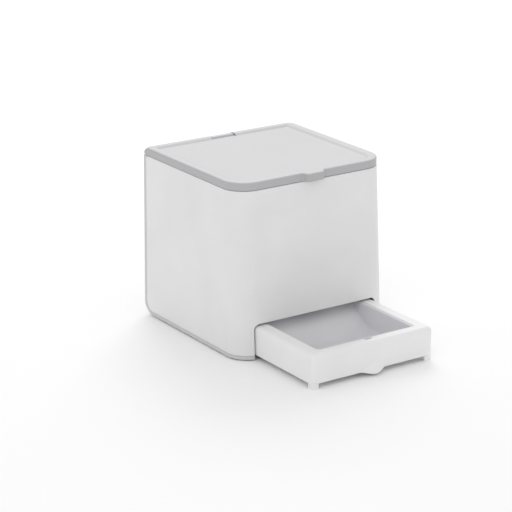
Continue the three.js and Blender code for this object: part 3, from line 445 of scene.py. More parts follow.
def makeFrontShell():
    size, curve = housing, housing["topRound"]
    low, high = shellLow.z, shellTop
    rings = [ringAt(bodyPath(low), low), ringAt(bodyPath(high - curve), high - curve)]
    for k in range(1, 7):
        a = math.radians(90 * k / 6)
        z = high - curve + curve * math.sin(a)
        rings.append(ringAt(bodyPath(z, curve * (1 - math.cos(a))), z))
    skinRoom = sideRoom(size["strip"], baseTop, cutReach, size["seam"], size["cornerRound"])
    inside = loft([ringAt(bodyPath(z, size["wall"], size["backY"] + 0.01), z) for z in (0.0, 0.21)])
    opening = filletPath(box4(-size["bayHalf"], -0.02, size["bayHalf"], size["bayTop"], 0, size["bayRadius"]), 12)
    bay = prism(opening, frontY - 0.04, frontY + 0.03, "y")
    mesh = carve(loft(rings), [(skinRoom, "INTERSECT"), inside, bay])
    shell = newPiece("housing_front", mesh, finish["shell"])
    softenEdges(shell, size["edge"], angle=40)
    finishPiece(shell, "housing", "front_shell")


pinInset = 0.00475  # half of the lid's thickness
hinge = {"pinY": housing["backY"] - pinInset, "pinZ": lidLow.z + pinInset, "bore": 0.0018, "boreHalf": 0.03,
         "lugHalf": 0.0151, "lugShown": 0.0034, "lugFront": 0.002, "lugInset": 0.0009, "lugFall": 0.014,
         "tongue": 0.0084, "tongueDrop": 0.0032, "tongueTop": 0.1995, "tongueFlat": 0.0037}
controls = {"z": 0.093, "panel": (-0.050, 0.052), "panelHalf": 0.009, "panelRadius": 0.003, "recess": 0.0014,
            "switchX": -0.036, "switchHalf": 0.009, "switchHigh": 0.006}
# across, radius and sides of each round hole
roundControls = {"button": (-0.010, 0.0056, 48), "lens": (0.008, 0.0023, 32), "jack": (0.040, 0.0041, 48)}
grille = {"x": 0.076, "z": 0.060, "slots": 5, "pitch": 0.004, "height": 0.0018, "radius": 0.009, "inset": 0.002}


def newTree(name, inputs):
    # an empty Geometry Nodes tree with geometry in and out and named sizes
    tree = bpy.data.node_groups.new(name, "GeometryNodeTree")
    tree.interface.new_socket("Geometry", in_out="INPUT", socket_type="NodeSocketGeometry")
    tree.interface.new_socket("Geometry", in_out="OUTPUT", socket_type="NodeSocketGeometry")
    for label, value in inputs.items():
        kind = "NodeSocketInt" if isinstance(value, int) else "NodeSocketFloat"
        tree.interface.new_socket(label, in_out="INPUT", socket_type=kind).default_value = value
    return tree, tree.nodes.new("NodeGroupInput"), tree.nodes.new("NodeGroupOutput")


def copiesOn(tree, points, shape, **more):
    links = {"Points": points, "Instance": shape, **more}
    return addNode(tree, "GeometryNodeInstanceOnPoints", links).outputs["Instances"]


def closeTree(tree, target, geometry, material):
    real = addNode(tree, "GeometryNodeRealizeInstances", {"Geometry": geometry})
    painted = addNode(tree, "GeometryNodeSetMaterial", {"Geometry": real.outputs["Geometry"], "Material": material})
    tree.links.new(painted.outputs["Geometry"], target.inputs["Geometry"])


def growMesh(tree, values, points=((0, 0, 0),)):
    # runs a tree on a few points and gives back its plain mesh
    seed = bpy.data.meshes.new("seed")
    seed.from_pydata([tuple(p) for p in points], [], [])
    holder = bpy.data.objects.new("seed", seed)
    room.objects.link(holder)
    step = holder.modifiers.new("grow", "NODES")
    step.node_group = tree
    for item in tree.interface.items_tree:
        if item.in_out == "INPUT" and item.name in values:
            step[item.identifier] = values[item.name]
    made = plainMesh(holder)
    holder.modifiers.clear()
    bpy.data.objects.remove(holder)
    return made


def slotCutter():
    # a column of slots whose lengths follow a circle
    tree, source, target = newTree("speaker_slots", {"Slots": 5, "Pitch": 0.004, "Height": 0.0018, "Radius": 0.01})
    sizes = source.outputs
    index = addNode(tree, "GeometryNodeInputIndex")
    middle = mathNode(tree, "MULTIPLY", mathNode(tree, "SUBTRACT", sizes["Slots"], 1.0), 0.5)
    rise = mathNode(tree, "MULTIPLY", mathNode(tree, "SUBTRACT", index.outputs[0], middle), sizes["Pitch"])
    square, full = mathNode(tree, "POWER", rise, 2.0), mathNode(tree, "POWER", sizes["Radius"], 2.0)
    reach = mathNode(tree, "SQRT", mathNode(tree, "SUBTRACT", full, square))
    place = addNode(tree, "ShaderNodeCombineXYZ", {"Z": rise})
    size = addNode(tree, "ShaderNodeCombineXYZ", {"X": reach, "Y": 1.0, "Z": 1.0})
    line = addNode(tree, "GeometryNodeMeshLine", {"Count": sizes["Slots"]})
    points = addNode(tree, "GeometryNodeSetPosition", {"Geometry": line.outputs["Mesh"], "Position": place.outputs[0]})
    shape = addNode(tree, "ShaderNodeCombineXYZ", {"X": 2.0, "Y": 0.01, "Z": sizes["Height"]})
    slot = addNode(tree, "GeometryNodeMeshCube", {"Size": shape.outputs[0]})
    closeTree(tree, target, copiesOn(tree, points.outputs["Geometry"], slot.outputs["Mesh"], Scale=size.outputs[0]),
              finish["back"])
    mesh = growMesh(tree, {"Slots": grille["slots"], "Pitch": grille["pitch"], "Height": grille["height"],
                           "Radius": grille["radius"]})
    mesh.transform(Matrix.Translation((grille["x"], housing["backY"] - grille["inset"], grille["z"])))
    return mesh


screwHoles = {"x": 0.0922, "y": (0.008, 0.102, 0.032, 0.076), "head": 0.0032, "headTop": 0.0037, "shank": 0.0018,
              "shankTop": 0.02}
footHoles = {"x": 0.091, "y": (-0.022, 0.122), "radius": 0.0063, "top": 0.0027}


def tongueProfile(steps=12):
    # the lug's front is an arc about the pin, so that the lid's notch swings clear of it
    reach, pinY, pinZ = hinge["tongue"], hinge["pinY"], hinge["pinZ"]
    first, last = math.asin(-hinge["tongueDrop"] / reach), math.asin((hinge["tongueTop"] - pinZ) / reach)
    angles = [first + (last - first) * k / steps for k in range(steps + 1)]
    front = [(pinY - reach * math.cos(a), pinZ + reach * math.sin(a)) for a in angles]
    return front + [(pinY - hinge["tongueFlat"], hinge["tongueTop"]), (pinY, pinZ + 0.98 * hinge["lugShown"]),
                    (pinY, pinZ - hinge["tongueDrop"])]


def hingeLug():
    half, pinY, pinZ = hinge["lugHalf"], hinge["pinY"], hinge["pinZ"]
    front, back = pinY - hinge["lugFront"], housing["backY"] - hinge["lugInset"]
    web = brick(-half, half, front, back, shellTop - hinge["lugFall"], pinZ)
    barrel = bar("x", hinge["lugShown"], -half, half, (pinY, pinZ), 64)
    return carve(barrel, [(web, "UNION"), (prism(tongueProfile(), -half, half, "x"), "UNION")])


def makeRearShell():
    size, low, back = housing, rearLow.z, housing["backY"]
    roomHalf = size["halfWidth"] - size["wall"] - size["fit"]
    doorLow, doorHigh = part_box("battery_door")
    gap, footGap, corner = size["doorGap"], size["doorFoot"], size["doorRadius"]
    door = box4(doorLow.x - gap, doorLow.z - footGap, doorHigh.x + gap, doorHigh.z + gap, corner, corner)
    z, depth, out = controls["z"], back - size["backWall"] - over, back + over
    (left, right), high, r = controls["panel"], controls["panelHalf"], controls["panelRadius"]
    panel = box4(left, z - high, right, z + high, r, r)
    x, half, rise = controls["switchX"], controls["switchHalf"], controls["switchHigh"]
    blank = loft([ringAt(bodyPath(h), h) for h in (low, shellTop)])
    cuts = [
        (sideRoom(0, low, cutReach), "INTERSECT"),
        sideRoom(size["strip"], baseTop, cutReach, 0, size["cornerRound"]),
        sideRoom(size["backWall"], baseTop, roomHalf),
        brick(-size["bayHalf"], size["bayHalf"], frontY - 0.04, size["bayEnd"], -0.01, 0.03),
        (hingeLug(), "UNION"),
        prism(filletPath(door, 6), back - size["doorDeep"], out, "y"),
        prism(filletPath(panel, 8), back - controls["recess"], out, "y"),
        brick(x - half, x + half, depth, out, z - rise, z + rise),
    ]
    cuts += [bar("y", radius, depth, out, (x, z), sides) for x, radius, sides in roundControls.values()]
    cuts += [
        bar("x", hinge["bore"], -hinge["boreHalf"], hinge["boreHalf"], (hinge["pinY"], hinge["pinZ"])),
        slotCutter(),
    ]
    for side in (-1, 1):
        for y in footHoles["y"]:
            at = (side * footHoles["x"], y)
            cuts.append(bar("z", footHoles["radius"], -0.003, footHoles["top"], at))
        for y in screwHoles["y"]:
            at = (side * screwHoles["x"], y)
            cuts.append(bar("z", screwHoles["head"], -0.003, screwHoles["headTop"], at, 32))
            cuts.append(bar("z", screwHoles["shank"], 0.0, screwHoles["shankTop"], at, 24))
    shell = newPiece("housing_back", carve(blank, cuts), finish["back"])
    softenEdges(shell, size["edge"], segments=2, angle=40)
    finishPiece(shell, "housing", "rear_base_shell")


makeFrontShell()
makeRearShell()
print("housing made")


# lid

lid = {
    "border": 0.0075, "slope": 0.0068, "dish": 0.0026, "round": 0.0016, "plate": 0.0025, "foot": 0.0006, "edge": 0.0003,
    "tabHalf": 0.013, "tabReach": 0.0065, "tabSpread": 0.001, "tabTaper": 0.0025, "tabRoot": 0.0024, "tabTip": 0.004,
    "notchHalf": 0.0163, "notchFront": hinge["pinY"] - 0.0087, "notchCorner": 0.0012, "rimCut": 0.0195,
    "wall": 0.003, "hollowBack": hinge["pinY"] - 0.0097, "hollowCorner": 0.024, "hollowBackCorner": 0.002,
    "backCornerLow": 0.003, "backCornerTop": 0.0075, "backReach": 0.009, "backDrop": 0.0078, "backBorder": 0.004,
    "steps": 10,
}


def lidCorners(tab, backInset, corner):
    half, back = housing["halfWidth"], housing["backY"] - backInset
    tabFront, front = frontY - lid["tabReach"] * tab, housing["frontRadius"]
    root, tip = lid["tabHalf"] + lid["tabSpread"], lid["tabHalf"] - lid["tabTaper"]
    return [
        (-half, frontY, front), (-root, frontY, lid["tabRoot"]), (-tip, tabFront, lid["tabTip"]),
        (tip, tabFront, lid["tabTip"]), (root, frontY, lid["tabRoot"]), (half, frontY, front),
        (half, back, corner), (-half, back, corner),
    ]


def lidRing(inset, z, tab=1.0, backInset=None):
    # the back edge follows a circle about the pin, so that the lid clears the shell, and is rounder at its top
    reach, drop = lid["backReach"], lid["backDrop"]
    limit = housing["backY"]
    if z < hinge["pinZ"]:
        limit = hinge["pinY"] + math.sqrt(max(0.0, pinInset ** 2 - (z - hinge["pinZ"]) ** 2))
    rise = max(0.0, (z - lidHigh.z + drop) / drop)
    limit = min(limit, housing["backY"] - reach + reach * math.sqrt(max(0.0, 1 - rise ** 2)))
    corner = lid["backCornerLow"] + (lid["backCornerTop"] - lid["backCornerLow"]) * rise
    if backInset is None:
        backInset = max(0.0, housing["backY"] - limit - inset)
    return [(p.x, p.y, z) for p in filletPath(shrink(lidCorners(tab, backInset, corner), inset), lid["steps"])]


def makeLid():
    low, high, foot, curve = lidLow.z, lidHigh.z, lid["foot"], lid["round"]
    rings = [lidRing(foot, low), lidRing(0.0002, low + 0.0002), lidRing(0.0, low + foot)]
    for k in range(1, 11):
        rings.append(lidRing(0.0, low + foot + (high - low - foot - curve) * k / 10))
    for k in range(1, 8):
        a = math.radians(90 * k / 7)
        rings.append(lidRing(curve * (1 - math.cos(a)), high - curve * (1 - math.sin(a))))
    rings.append(lidRing(curve + 0.0012, high, 0.9))
    for k in range(17):
        t = k / 16
        inset = lid["border"] + lid["slope"] * t
        rings.append(lidRing(inset, high - lid["dish"] * t * t * (3 - 2 * t), 0.0001, lid["backBorder"]))
    skin = loft(rings)
    dishTop = high - lid["dish"]
    under = dishTop - lid["plate"]
    half, notchHalf, past = housing["halfWidth"] - lid["wall"], lid["notchHalf"], housing["backY"] + 0.005
    hollow = box4(-half, frontY + lid["wall"], half, lid["hollowBack"], lid["hollowCorner"], lid["hollowBackCorner"])
    notch = box4(-notchHalf, lid["notchFront"], notchHalf, past, lid["notchCorner"], 0.0)
    cuts = [
        prism(filletPath(hollow, 12), low - 0.005, under),
        prism(filletPath(notch, 5), low - 0.005, high + 0.005),
        brick(-notchHalf, notchHalf, housing["backY"] - lid["rimCut"], past, dishTop + 0.0001, high + 0.005),
        bar("x", hinge["bore"], -0.032, 0.032, (hinge["pinY"], hinge["pinZ"])),
    ]
    cover = newPiece("lid_cover", carve(skin, cuts), finish["lid"])
    # the lid's upright side faces take the darker copy of its grey: painted shade on the sides, not a different plastic
    cover.data.materials.append(finish["lidPaintedSideShade"])
    for face in cover.data.polygons:
        face.material_index = 1 if abs(face.normal.z) < 0.5 else 0
    softenEdges(cover, lid["edge"], segments=2, angle=50)
    finishPiece(cover, "lid", "lid")


makeLid()
print("lid made")


# drawer

tray = {
    "low": 0.0056, "round": 0.005, "corner": 0.0045, "rimSide": 0.015, "rimFront": 0.012, "rimBack": 0.0065,
    "bowlCorner": 0.005, "ledge": 0.0016, "step": 0.0022, "wall": 0.0022, "hollowLow": 0.002, "hollowDrop": 0.0042,
    "leg": 0.009, "legInset": 0.0008, "pull": 0.006, "pullHalf": 0.0165, "pullDrop": 0.0025, "pullHeight": 0.013,
    "thumbHalf": 0.0055, "thumb": (0.009, 0.017), "thumbDeep": 0.0045, "tail": (0.021, 0.001),
    "tailHeight": (0.0118, 0.0182), "edge": 0.0007,
}
trayLow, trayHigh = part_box("tray_frame")
trayHalf, trayFront, trayBack, trayTop = 0.0805, trayLow.y + tray["pull"], trayHigh.y, trayHigh.z


def openingPath(grow, steps=12):
    half = trayHalf - tray["rimSide"] + grow
    return filletPath(box4(-half, trayFront + tray["rimFront"] - grow, half, trayBack - tray["rimBack"] + grow,
                           tray["bowlCorner"] + grow, tray["bowlCorner"] + grow), steps)


def trayRing(inset, z):
    corners = box4(-trayHalf, trayFront, trayHalf, trayBack, tray["corner"], tray["corner"])
    return ringAt(filletPath(shrink(corners, inset, 0.0018), 10), z)


def pullLip():
    # a lip that swells out of the front's lower edge and hangs a little below it
    rings = []
    for k in range(33):
        x = tray["pullHalf"] * (k / 16 - 1)
        swell = (0.5 + 0.5 * math.cos(math.pi * x / tray["pullHalf"])) ** 0.75
        low = tray["low"] + 0.0002 - (tray["pullDrop"] + 0.0002) * swell
        high = tray["low"] + 0.004 + (tray["pullHeight"] - 0.004) * swell
        reach = (tray["pull"] + 0.0004) * swell
        ring = [(trayFront + 0.0013, low), (trayFront + 0.0013, high)]
        for i in range(13):
            t = i / 12
            ring.append((trayFront + 0.0004 - reach * t ** 1.7, high + (low + 0.0009 - high) * t))
        tip = trayFront + 0.0004 - reach
        ring += [(tip + 0.0003 * swell, low + 0.0003), (tip + 0.0009 * swell, low)]
        rings.append([(x, y, z) for y, z in ring])
    return loft(rings)


def makeTrayFrame():
    low, high, r = tray["low"], trayTop, tray["round"]
    rings = [trayRing(0.0012, low), trayRing(0.0004, low + 0.0004), trayRing(0.0, low + 0.0014)]
    for k in range(0, 13):
        a = math.radians(90 * k / 12)
        rings.append(trayRing(r * (1 - math.cos(a)), high - r + r * math.sin(a)))
    cuts = [(pullLip(), "UNION")]
    leg, wall, legFront = tray["leg"], tray["wall"], trayFront + tray["legInset"]
    for side in (-1, 1):
        x = side * (trayHalf - leg / 2 - tray["legInset"])
        foot = filletPath(box4(x - leg / 2, legFront, x + leg / 2, legFront + leg, 0.0015, 0.0015), 5)
        cuts.append((prism(foot, 0.0, low + 0.003), "UNION"))
        a, b = sorted((side * (trayHalf - 0.001), side * trayHigh.x))
        start, end = [trayBack - inset for inset in tray["tail"]]
        cuts.append((brick(a, b, start, end, *tray["tailHeight"]), "UNION"))
    start, end = [trayFront + inset for inset in tray["thumb"]]
    thumb = filletPath(box4(-tray["thumbHalf"], start, tray["thumbHalf"], end, 0.0025, 0.001), 6)
    cuts += [
        prism(openingPath(0), high - tray["step"], high + over),
        prism(openingPath(-tray["ledge"]), high - 0.01, high),
        brick(-trayHalf + wall, trayHalf - wall, trayFront + wall, trayBack - wall, low + tray["hollowLow"],
              high - tray["hollowDrop"]),
        prism(thumb, high - tray["thumbDeep"], high + over),
    ]
    piece = newPiece("drawer_frame", carve(loft(rings), cuts), finish["drawer"])
    softenEdges(piece, tray["edge"], angle=42)
    finishPiece(piece, "drawer", "tray_frame")


bowl = {"floor": 0.012, "flange": 0.0015, "rampStart": frontY - 0.047, "rampRadius": 0.070, "rampArc": 33,
        "fillet": 0.0055, "fit": 0.0003, "sides": 44, "ends": 20, "arc": 8}


def rampHeight(y):
    run = y - bowl["rampStart"]
    if run <= 0:
        return bowl["floor"]
    a = math.radians(bowl["rampArc"])
    if run < bowl["rampRadius"] * math.sin(a):
        return bowl["floor"] + bowl["rampRadius"] - math.sqrt(bowl["rampRadius"] ** 2 - run ** 2)
    knee = bowl["floor"] + bowl["rampRadius"] * (1 - math.cos(a))
    return knee + (run - bowl["rampRadius"] * math.sin(a)) * math.tan(a)


def softMax(a, b, k=0.003):
    h = max(k - abs(a - b), 0) / k
    return max(a, b) + h * h * k / 4


def bowlPath(inset):
    # the flange's outline moved inwards, with its straight sides split evenly
    fit, corner = bowl["fit"], tray["bowlCorner"] - bowl["fit"]
    half = trayHalf - tray["rimSide"] - fit
    corners = box4(-half, trayFront + tray["rimFront"] + fit, half, trayBack - tray["rimBack"] - fit, corner, corner)
    arcs = filletPath(shrink(corners, inset, 0.0015), bowl["arc"])
    each = bowl["arc"] + 1
    path = []
    for k in range(4):
        path += arcs[k * each:(k + 1) * each]
        start, end = arcs[(k + 1) * each - 1], arcs[((k + 1) * each) % len(arcs)]
        parts = bowl["ends"] if k % 2 == 0 else bowl["sides"]
        path += [start.lerp(end, i / parts) for i in range(1, parts)]
    return path


def makeBowl():
    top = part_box("bowl_liner")[1].z
    flange, floor, r = bowl["flange"], bowl["floor"], bowl["fillet"]
    # (how far inside the flange's outline, height), from the underside over the flange and down the inside
    profile = [(0.0054, 0.0100), (0.0047, 0.0103), (0.0019, top - flange), (0.0003, top - flange),
               (0.0, top - flange + 0.0003), (0.0, top - 0.0003), (0.0003, top), (0.0015, top), (0.0021, top - 0.0002),
               (0.0026, top - 0.0007), (0.0029, top - 0.0015)]
    wallTop, wallFoot = profile[-1], (0.0058, floor + r)
    for k in range(1, 15):
        t = k / 14
        profile.append((wallTop[0] + (wallFoot[0] - wallTop[0]) * t, wallTop[1] + (wallFoot[1] - wallTop[1]) * t))
    for k in range(1, 10):
        a = math.radians(90 * k / 9)
        profile.append((wallFoot[0] + r * (1 - math.cos(a)), wallFoot[1] - r * math.sin(a)))
    profile += [(inset, floor) for inset in (0.0145, 0.0175, 0.021, 0.025, 0.030, 0.036, 0.043, 0.050)]
    made = bmesh.new()
    rows = []
    for number, (inset, z) in enumerate(profile):
        inside = number >= 7
        rows.append([made.verts.new((p.x, p.y, min(top, softMax(z, rampHeight(p.y))) if inside else z))
                     for p in bowlPath(inset)])
    skinRows(made, rows)
    count = len(rows[0])
    last, arc, ends, sides = rows[-1], bowl["arc"] + 1, bowl["ends"], bowl["sides"]
    left = [(arc - 1 - k) % count for k in range(2 * arc + sides - 1)]
    right = [(2 * arc + ends - 2 - i) % count for i in left]
    frontInner = list(range(arc, arc + ends - 1))
    backInner = [(3 * arc + ends + sides - 2 + i) % count for i in range(ends - 1)]
    for k in range(len(left) - 1):
        front, back = frontInner if k == 0 else [], backInner if k == len(left) - 2 else []
        made.faces.new([last[i] for i in [left[k], *front, right[k], right[k + 1], *back, left[k + 1]]])
    piece = newPiece("drawer_bowl", meshFrom(made, "bowl"), finish["bowl"])
    smoothAll(piece)
    shade = piece.modifiers.new("shading", "WEIGHTED_NORMAL")
    shade.weight = 60
    finishPiece(piece, "drawer", "bowl_liner")


makeTrayFrame()
makeBowl()
print("drawer made")


# food store

hopper = {"wall": 0.002, "half": 0.091, "margin": 0.009, "corner": 0.020, "low": 0.056, "throat": 0.0535,
          "flange": 0.0665, "shoulder": 0.130, "bend": 0.007, "knee": 0.86, "guard": 38, "hub": 0.012,
          "hingeRoom": 0.016, "edge": 0.0005}
discY = 0.042
hopperLow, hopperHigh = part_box("hopper")


def hopperRing(u, z, inset):
    # from the round throat at u = 0 to the bin at u = 1
    def mix(a, b):
        return a + (b - a) * u

    half = mix(hopper["low"], hopper["half"]) - inset
    front = mix(discY - hopper["low"], frontY + hopper["margin"]) + inset
    back = mix(discY + hopper["low"], housing["backY"] - hopper["margin"] - 0.003) - inset
    r = mix(hopper["low"] - 0.0001, hopper["corner"]) - inset
    return ringAt(filletPath(box4(-half, front, half, back, r, r), 14), z)


def hopperSkin(inset, low, high):
    base, shoulder, bend, knee = hopperLow.z, hopper["shoulder"], hopper["bend"], hopper["knee"]
    kneeHeight = base + (shoulder - base) * knee
    rings = [hopperRing(0, low, inset)] if low < base else []
    for k in range(5):
        u = knee * k / 4
        rings.append(hopperRing(u, base + (shoulder - base) * u, inset))
    for k in range(1, 11):
        t = k / 10
        u = (1 - t) ** 2 * knee + 2 * t * (1 - t) + t * t
        z = (1 - t) ** 2 * kneeHeight + 2 * t * (1 - t) * shoulder + t * t * (shoulder + bend)
        rings.append(hopperRing(u, z, inset))
    return loft(rings + [hopperRing(1, high, inset)])


def makeHopper():
    low, top, wall = hopperLow.z, hopperHigh.z, hopper["wall"]
    rim = bodyPath(top, housing["wall"] + 0.0006, housing["backY"] - housing["backWall"] - 0.0003)
    sector, reach = [(0, discY)], hopper["throat"] + 0.001
    for k in range(21):
        a = math.radians(-90 + hopper["guard"] * (k / 10 - 1))
        sector.append((reach * math.cos(a), discY + reach * math.sin(a)))
    cuts = [
        (prism(rim, top - wall, top), "UNION"),
        (bar("z", hopper["flange"], low, low + wall, (0, discY), 96), "UNION"),
        brick(-hopper["hingeRoom"], hopper["hingeRoom"], hinge["pinY"] - 0.0026, housing["backY"], top - 0.005,
              top + 0.01),
        hopperSkin(wall, low - over, top + over),
        bar("z", hopper["throat"], low - 0.002, low + 0.008, (0, discY), 96),
        (prism(sector, low, low + wall), "UNION"),
        bar("z", hopper["hub"], low - 0.002, low + 0.008, (0, discY)),
    ]
    store = newPiece("food_hopper", carve(hopperSkin(0, low, top), cuts), finish["inner"])
    softenEdges(store, hopper["edge"], angle=40)
    finishPiece(store, "housing", "hopper")


wheel = {"radius": 0.0545, "pockets": 8, "circle": 0.038, "pocket": 0.0125, "bore": 0.0033, "edge": 0.0006}
wheelLow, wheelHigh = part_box("portion_disc")


def pocketCutters():
    tree, source, target = newTree("wheel_pockets", {"Pockets": 8, "Circle": 0.038, "Radius": 0.0125, "Depth": 0.02})
    sizes = source.outputs
    ring = addNode(tree, "GeometryNodeMeshCircle", {"Vertices": sizes["Pockets"], "Radius": sizes["Circle"]})
    pocket = addNode(tree, "GeometryNodeMeshCylinder",
                     {"Vertices": 48, "Radius": sizes["Radius"], "Depth": sizes["Depth"]})
    closeTree(tree, target, copiesOn(tree, ring.outputs["Mesh"], pocket.outputs["Mesh"]), finish["disc"])
    mesh = growMesh(tree, {"Pockets": wheel["pockets"], "Circle": wheel["circle"], "Radius": wheel["pocket"]})
    mesh.transform(Matrix.Translation((0, discY, (wheelLow.z + wheelHigh.z) / 2)))
    return mesh


def makePortionWheel():
    r, low, high = wheel["radius"], wheelLow.z, wheelHigh.z
    profile = [(0, low), (r - 0.0008, low), (r, low + 0.0008), (r, high - 0.0008), (r - 0.0008, high),
               (r - 0.0026, high), (r - 0.0030, high - 0.0005), (0.0150, high - 0.0005), (0.0146, high), (0, high)]
    bore = bar("z", wheel["bore"], low - 0.01, high + 0.01, (0, discY))
    mesh = carve(turned(profile, (0, discY, 0), sides=96), [pocketCutters(), bore])
    piece = newPiece("portion_wheel", mesh, finish["disc"])
    softenEdges(piece, wheel["edge"], angle=42)
    finishPiece(piece, "portion_disc", "portion_disc")


makeHopper()
makePortionWheel()
print("food store made")


# battery hatch and cells

hatch = {"thick": 0.0024, "corner": 0.002, "edge": 0.0003, "stiffeners": (-0.034, 0, 0.034),
         "gripHalf": 0.012, "grip": (0.007, 0.002), "gripCorner": 0.0015, "gripDeep": 0.0012,
         "ribs": 5, "pitch": 0.0018, "ribHalf": 0.009, "ribHigh": 0.0007, "ribInset": 0.00035, "ribDrop": 0.0175}
hatchLow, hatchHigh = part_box("battery_door")


def gripRibs():
    tree, source, target = newTree("hatch_ribs", {"Ribs": 5, "Pitch": 0.0018, "Width": 0.018, "Height": 0.0007})
    sizes = source.outputs
    step = addNode(tree, "ShaderNodeCombineXYZ", {"Z": sizes["Pitch"]})
    line = addNode(tree, "GeometryNodeMeshLine", {"Count": sizes["Ribs"], "Offset": step.outputs[0]})
    shape = addNode(tree, "ShaderNodeCombineXYZ", {"X": sizes["Width"], "Y": 0.001, "Z": sizes["Height"]})
    rib = addNode(tree, "GeometryNodeMeshCube", {"Size": shape.outputs[0]})
    closeTree(tree, target, copiesOn(tree, line.outputs["Mesh"], rib.outputs["Mesh"]), finish["back"])
    mesh = growMesh(tree, {"Ribs": hatch["ribs"], "Pitch": hatch["pitch"], "Width": 2 * hatch["ribHalf"],
                           "Height": hatch["ribHigh"]})
    mesh.transform(Matrix.Translation((0, hatchHigh.y - hatch["ribInset"], hatchHigh.z - hatch["ribDrop"])))
    return mesh


def makeHatch():
    low, high = hatchLow, hatchHigh
    outline = filletPath(box4(low.x, low.z, high.x, high.z, hatch["corner"], hatch["corner"]), 6)
    start, end = [high.z - drop for drop in hatch["grip"]]
    thumb = filletPath(box4(-hatch["gripHalf"], start, hatch["gripHalf"], end, *[hatch["gripCorner"]] * 2), 6)
    cuts = [(brick(x - 0.0008, x + 0.0008, low.y, high.y - 0.001, low.z + 0.003, high.z - 0.003), "UNION")
            for x in hatch["stiffeners"]]
    cuts += [(gripRibs(), "UNION"), prism(thumb, high.y - hatch["gripDeep"], high.y + over, "y")]
    piece = newPiece("battery_hatch", carve(prism(outline, high.y - hatch["thick"], high.y, "y"), cuts), finish["back"])
    softenEdges(piece, hatch["edge"], segments=2, angle=40)
    finishPiece(piece, "battery_door", "battery_door")


bareEnd = 0.0104  # radius of a cell's bare metal ends
cellEdge = 0.0001
cell = [(0, 0), (bareEnd, 0), (0.0106, 0.0004), (0.0122, 0.0004), (0.0129, 0.0007), (0.0131, 0.0014), (0.0131, 0.0472),
        (0.0129, 0.0480), (0.0122, 0.0484), (0.0106, 0.0484), (bareEnd, 0.0487), (0.0036, 0.0487), (0.0033, 0.0489),
        (0.0032, 0.0497), (0.0028, 0.0500), (0, 0.0500)]


def makeCells():
    for number in range(1, 5):
        low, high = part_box("battery_%d" % number)
        centre = (low.x, (low.y + high.y) / 2, (low.z + high.z) / 2)
        length = high.x - low.x
        profile = cell if number < 3 else [(r, length - z) for r, z in reversed(cell)]
        mesh = turned(profile, centre, "x", 64)
        piece = newPiece("cell_%d" % number, mesh, finish["battery"])
        mesh.materials.append(finish["steel"])
        for face in mesh.polygons:
            span = math.hypot(face.center.y - centre[1], face.center.z - centre[2])
            face.material_index = 1 if span < bareEnd else 0
        softenEdges(piece, cellEdge, segments=1, angle=60)
        finishPiece(piece, "housing", "battery_%d" % number)


makeHatch()
makeCells()
print("battery bay made")


# screws and feet, copied onto their places

chanceTurn = {"Turn": 3.1416, "Seed": 7}
smallEdge = 0.00008


def copyTree(name, template, material):
    # copies of one shape, each turned by a seeded chance amount
    tree, source, target = newTree(name, chanceTurn)
    shape = addNode(tree, "GeometryNodeObjectInfo", {"Object": template})
    chance = addNode(tree, "FunctionNodeRandomValue",
                     {2: 0.0, 3: source.outputs["Turn"], "Seed": source.outputs["Seed"]}, data_type="FLOAT")
    angles = addNode(tree, "ShaderNodeCombineXYZ", {"Z": chance.outputs[1]})
    rotation = addNode(tree, "FunctionNodeEulerToRotation", {0: angles.outputs[0]})
    copies = copiesOn(tree, source.outputs["Geometry"], shape.outputs["Geometry"], Rotation=rotation.outputs[0])
    closeTree(tree, target, copies, material)
    return tree


def spread(name, mesh, material, points):
    template = bpy.data.objects.new("template", mesh)
    made = growMesh(copyTree(name, template, material), chanceTurn, points)
    bpy.data.objects.remove(template)
    return newPiece(name, made, material)


screwSizes = {"head": 0.0029, "headHigh": 0.0018, "shank": 0.0015, "core": 0.0012, "pitch": 0.0009, "slot": 0.0007,
              "slotLong": 0.0032, "slotDeep": 0.0008}


def screwMesh(length, flipped=False):
    q, head, top = screwSizes, screwSizes["head"], screwSizes["headHigh"]
    profile = [(0, 0), (head - 0.0007, 0), (head - 0.0002, 0.0003), (head, 0.0008), (head, top - 0.0002),
               (head - 0.0002, top), (q["core"], top)]
    z = top + 0.0004
    while z < length - 0.0016:
        profile += [(q["core"], z), (q["shank"], z + q["pitch"] * 0.4), (q["core"], z + q["pitch"] * 0.8)]
        z += q["pitch"]
    profile += [(q["core"], length - 0.0010), (0.0006, length - 0.0001), (0, length)]
    long, wide = q["slotLong"] / 2, q["slot"] / 2
    cuts = [brick(-x, x, -y, y, -over, q["slotDeep"]) for x, y in ((long, wide), (wide, long))]
    mesh = carve(turned(profile, (0, 0, 0), sides=28), cuts)
    if flipped:
        mesh.transform(Matrix.Rotation(math.pi, 4, "X"))
    return mesh


screwGroups = {"shell_screw": 4, "deck_screw": 4, "disc_housing_screw": 4, "motor_screw": 2, "board_screw": 2}


def makeScrews():
    for group, count in screwGroups.items():
        names = ["%s_%d" % (group, k + 1) for k in range(count)]
        boxes = [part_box(name) for name in names]
        flipped = group == "board_screw"
        points = [((low.x + high.x) / 2, (low.y + high.y) / 2, high.z if flipped else low.z) for low, high in boxes]
        length = boxes[0][1].z - boxes[0][0].z
        piece = spread(group + "s", screwMesh(length, flipped), finish["steel"], points)
        softenEdges(piece, smallEdge, segments=1, angle=50)
        finishPiece(piece, "housing", *names)


footShape = [(0, 0.0005), (0.0034, 0.0005), (0.0038, 0.0001), (0.0042, 0), (0.0054, 0), (0.0058, 0.0003),
             (0.0060, 0.0008), (0.0059, 0.0014), (0.0055, 0.0016), (0.0055, 0.0022), (0.0053, 0.0024), (0, 0.0024)]


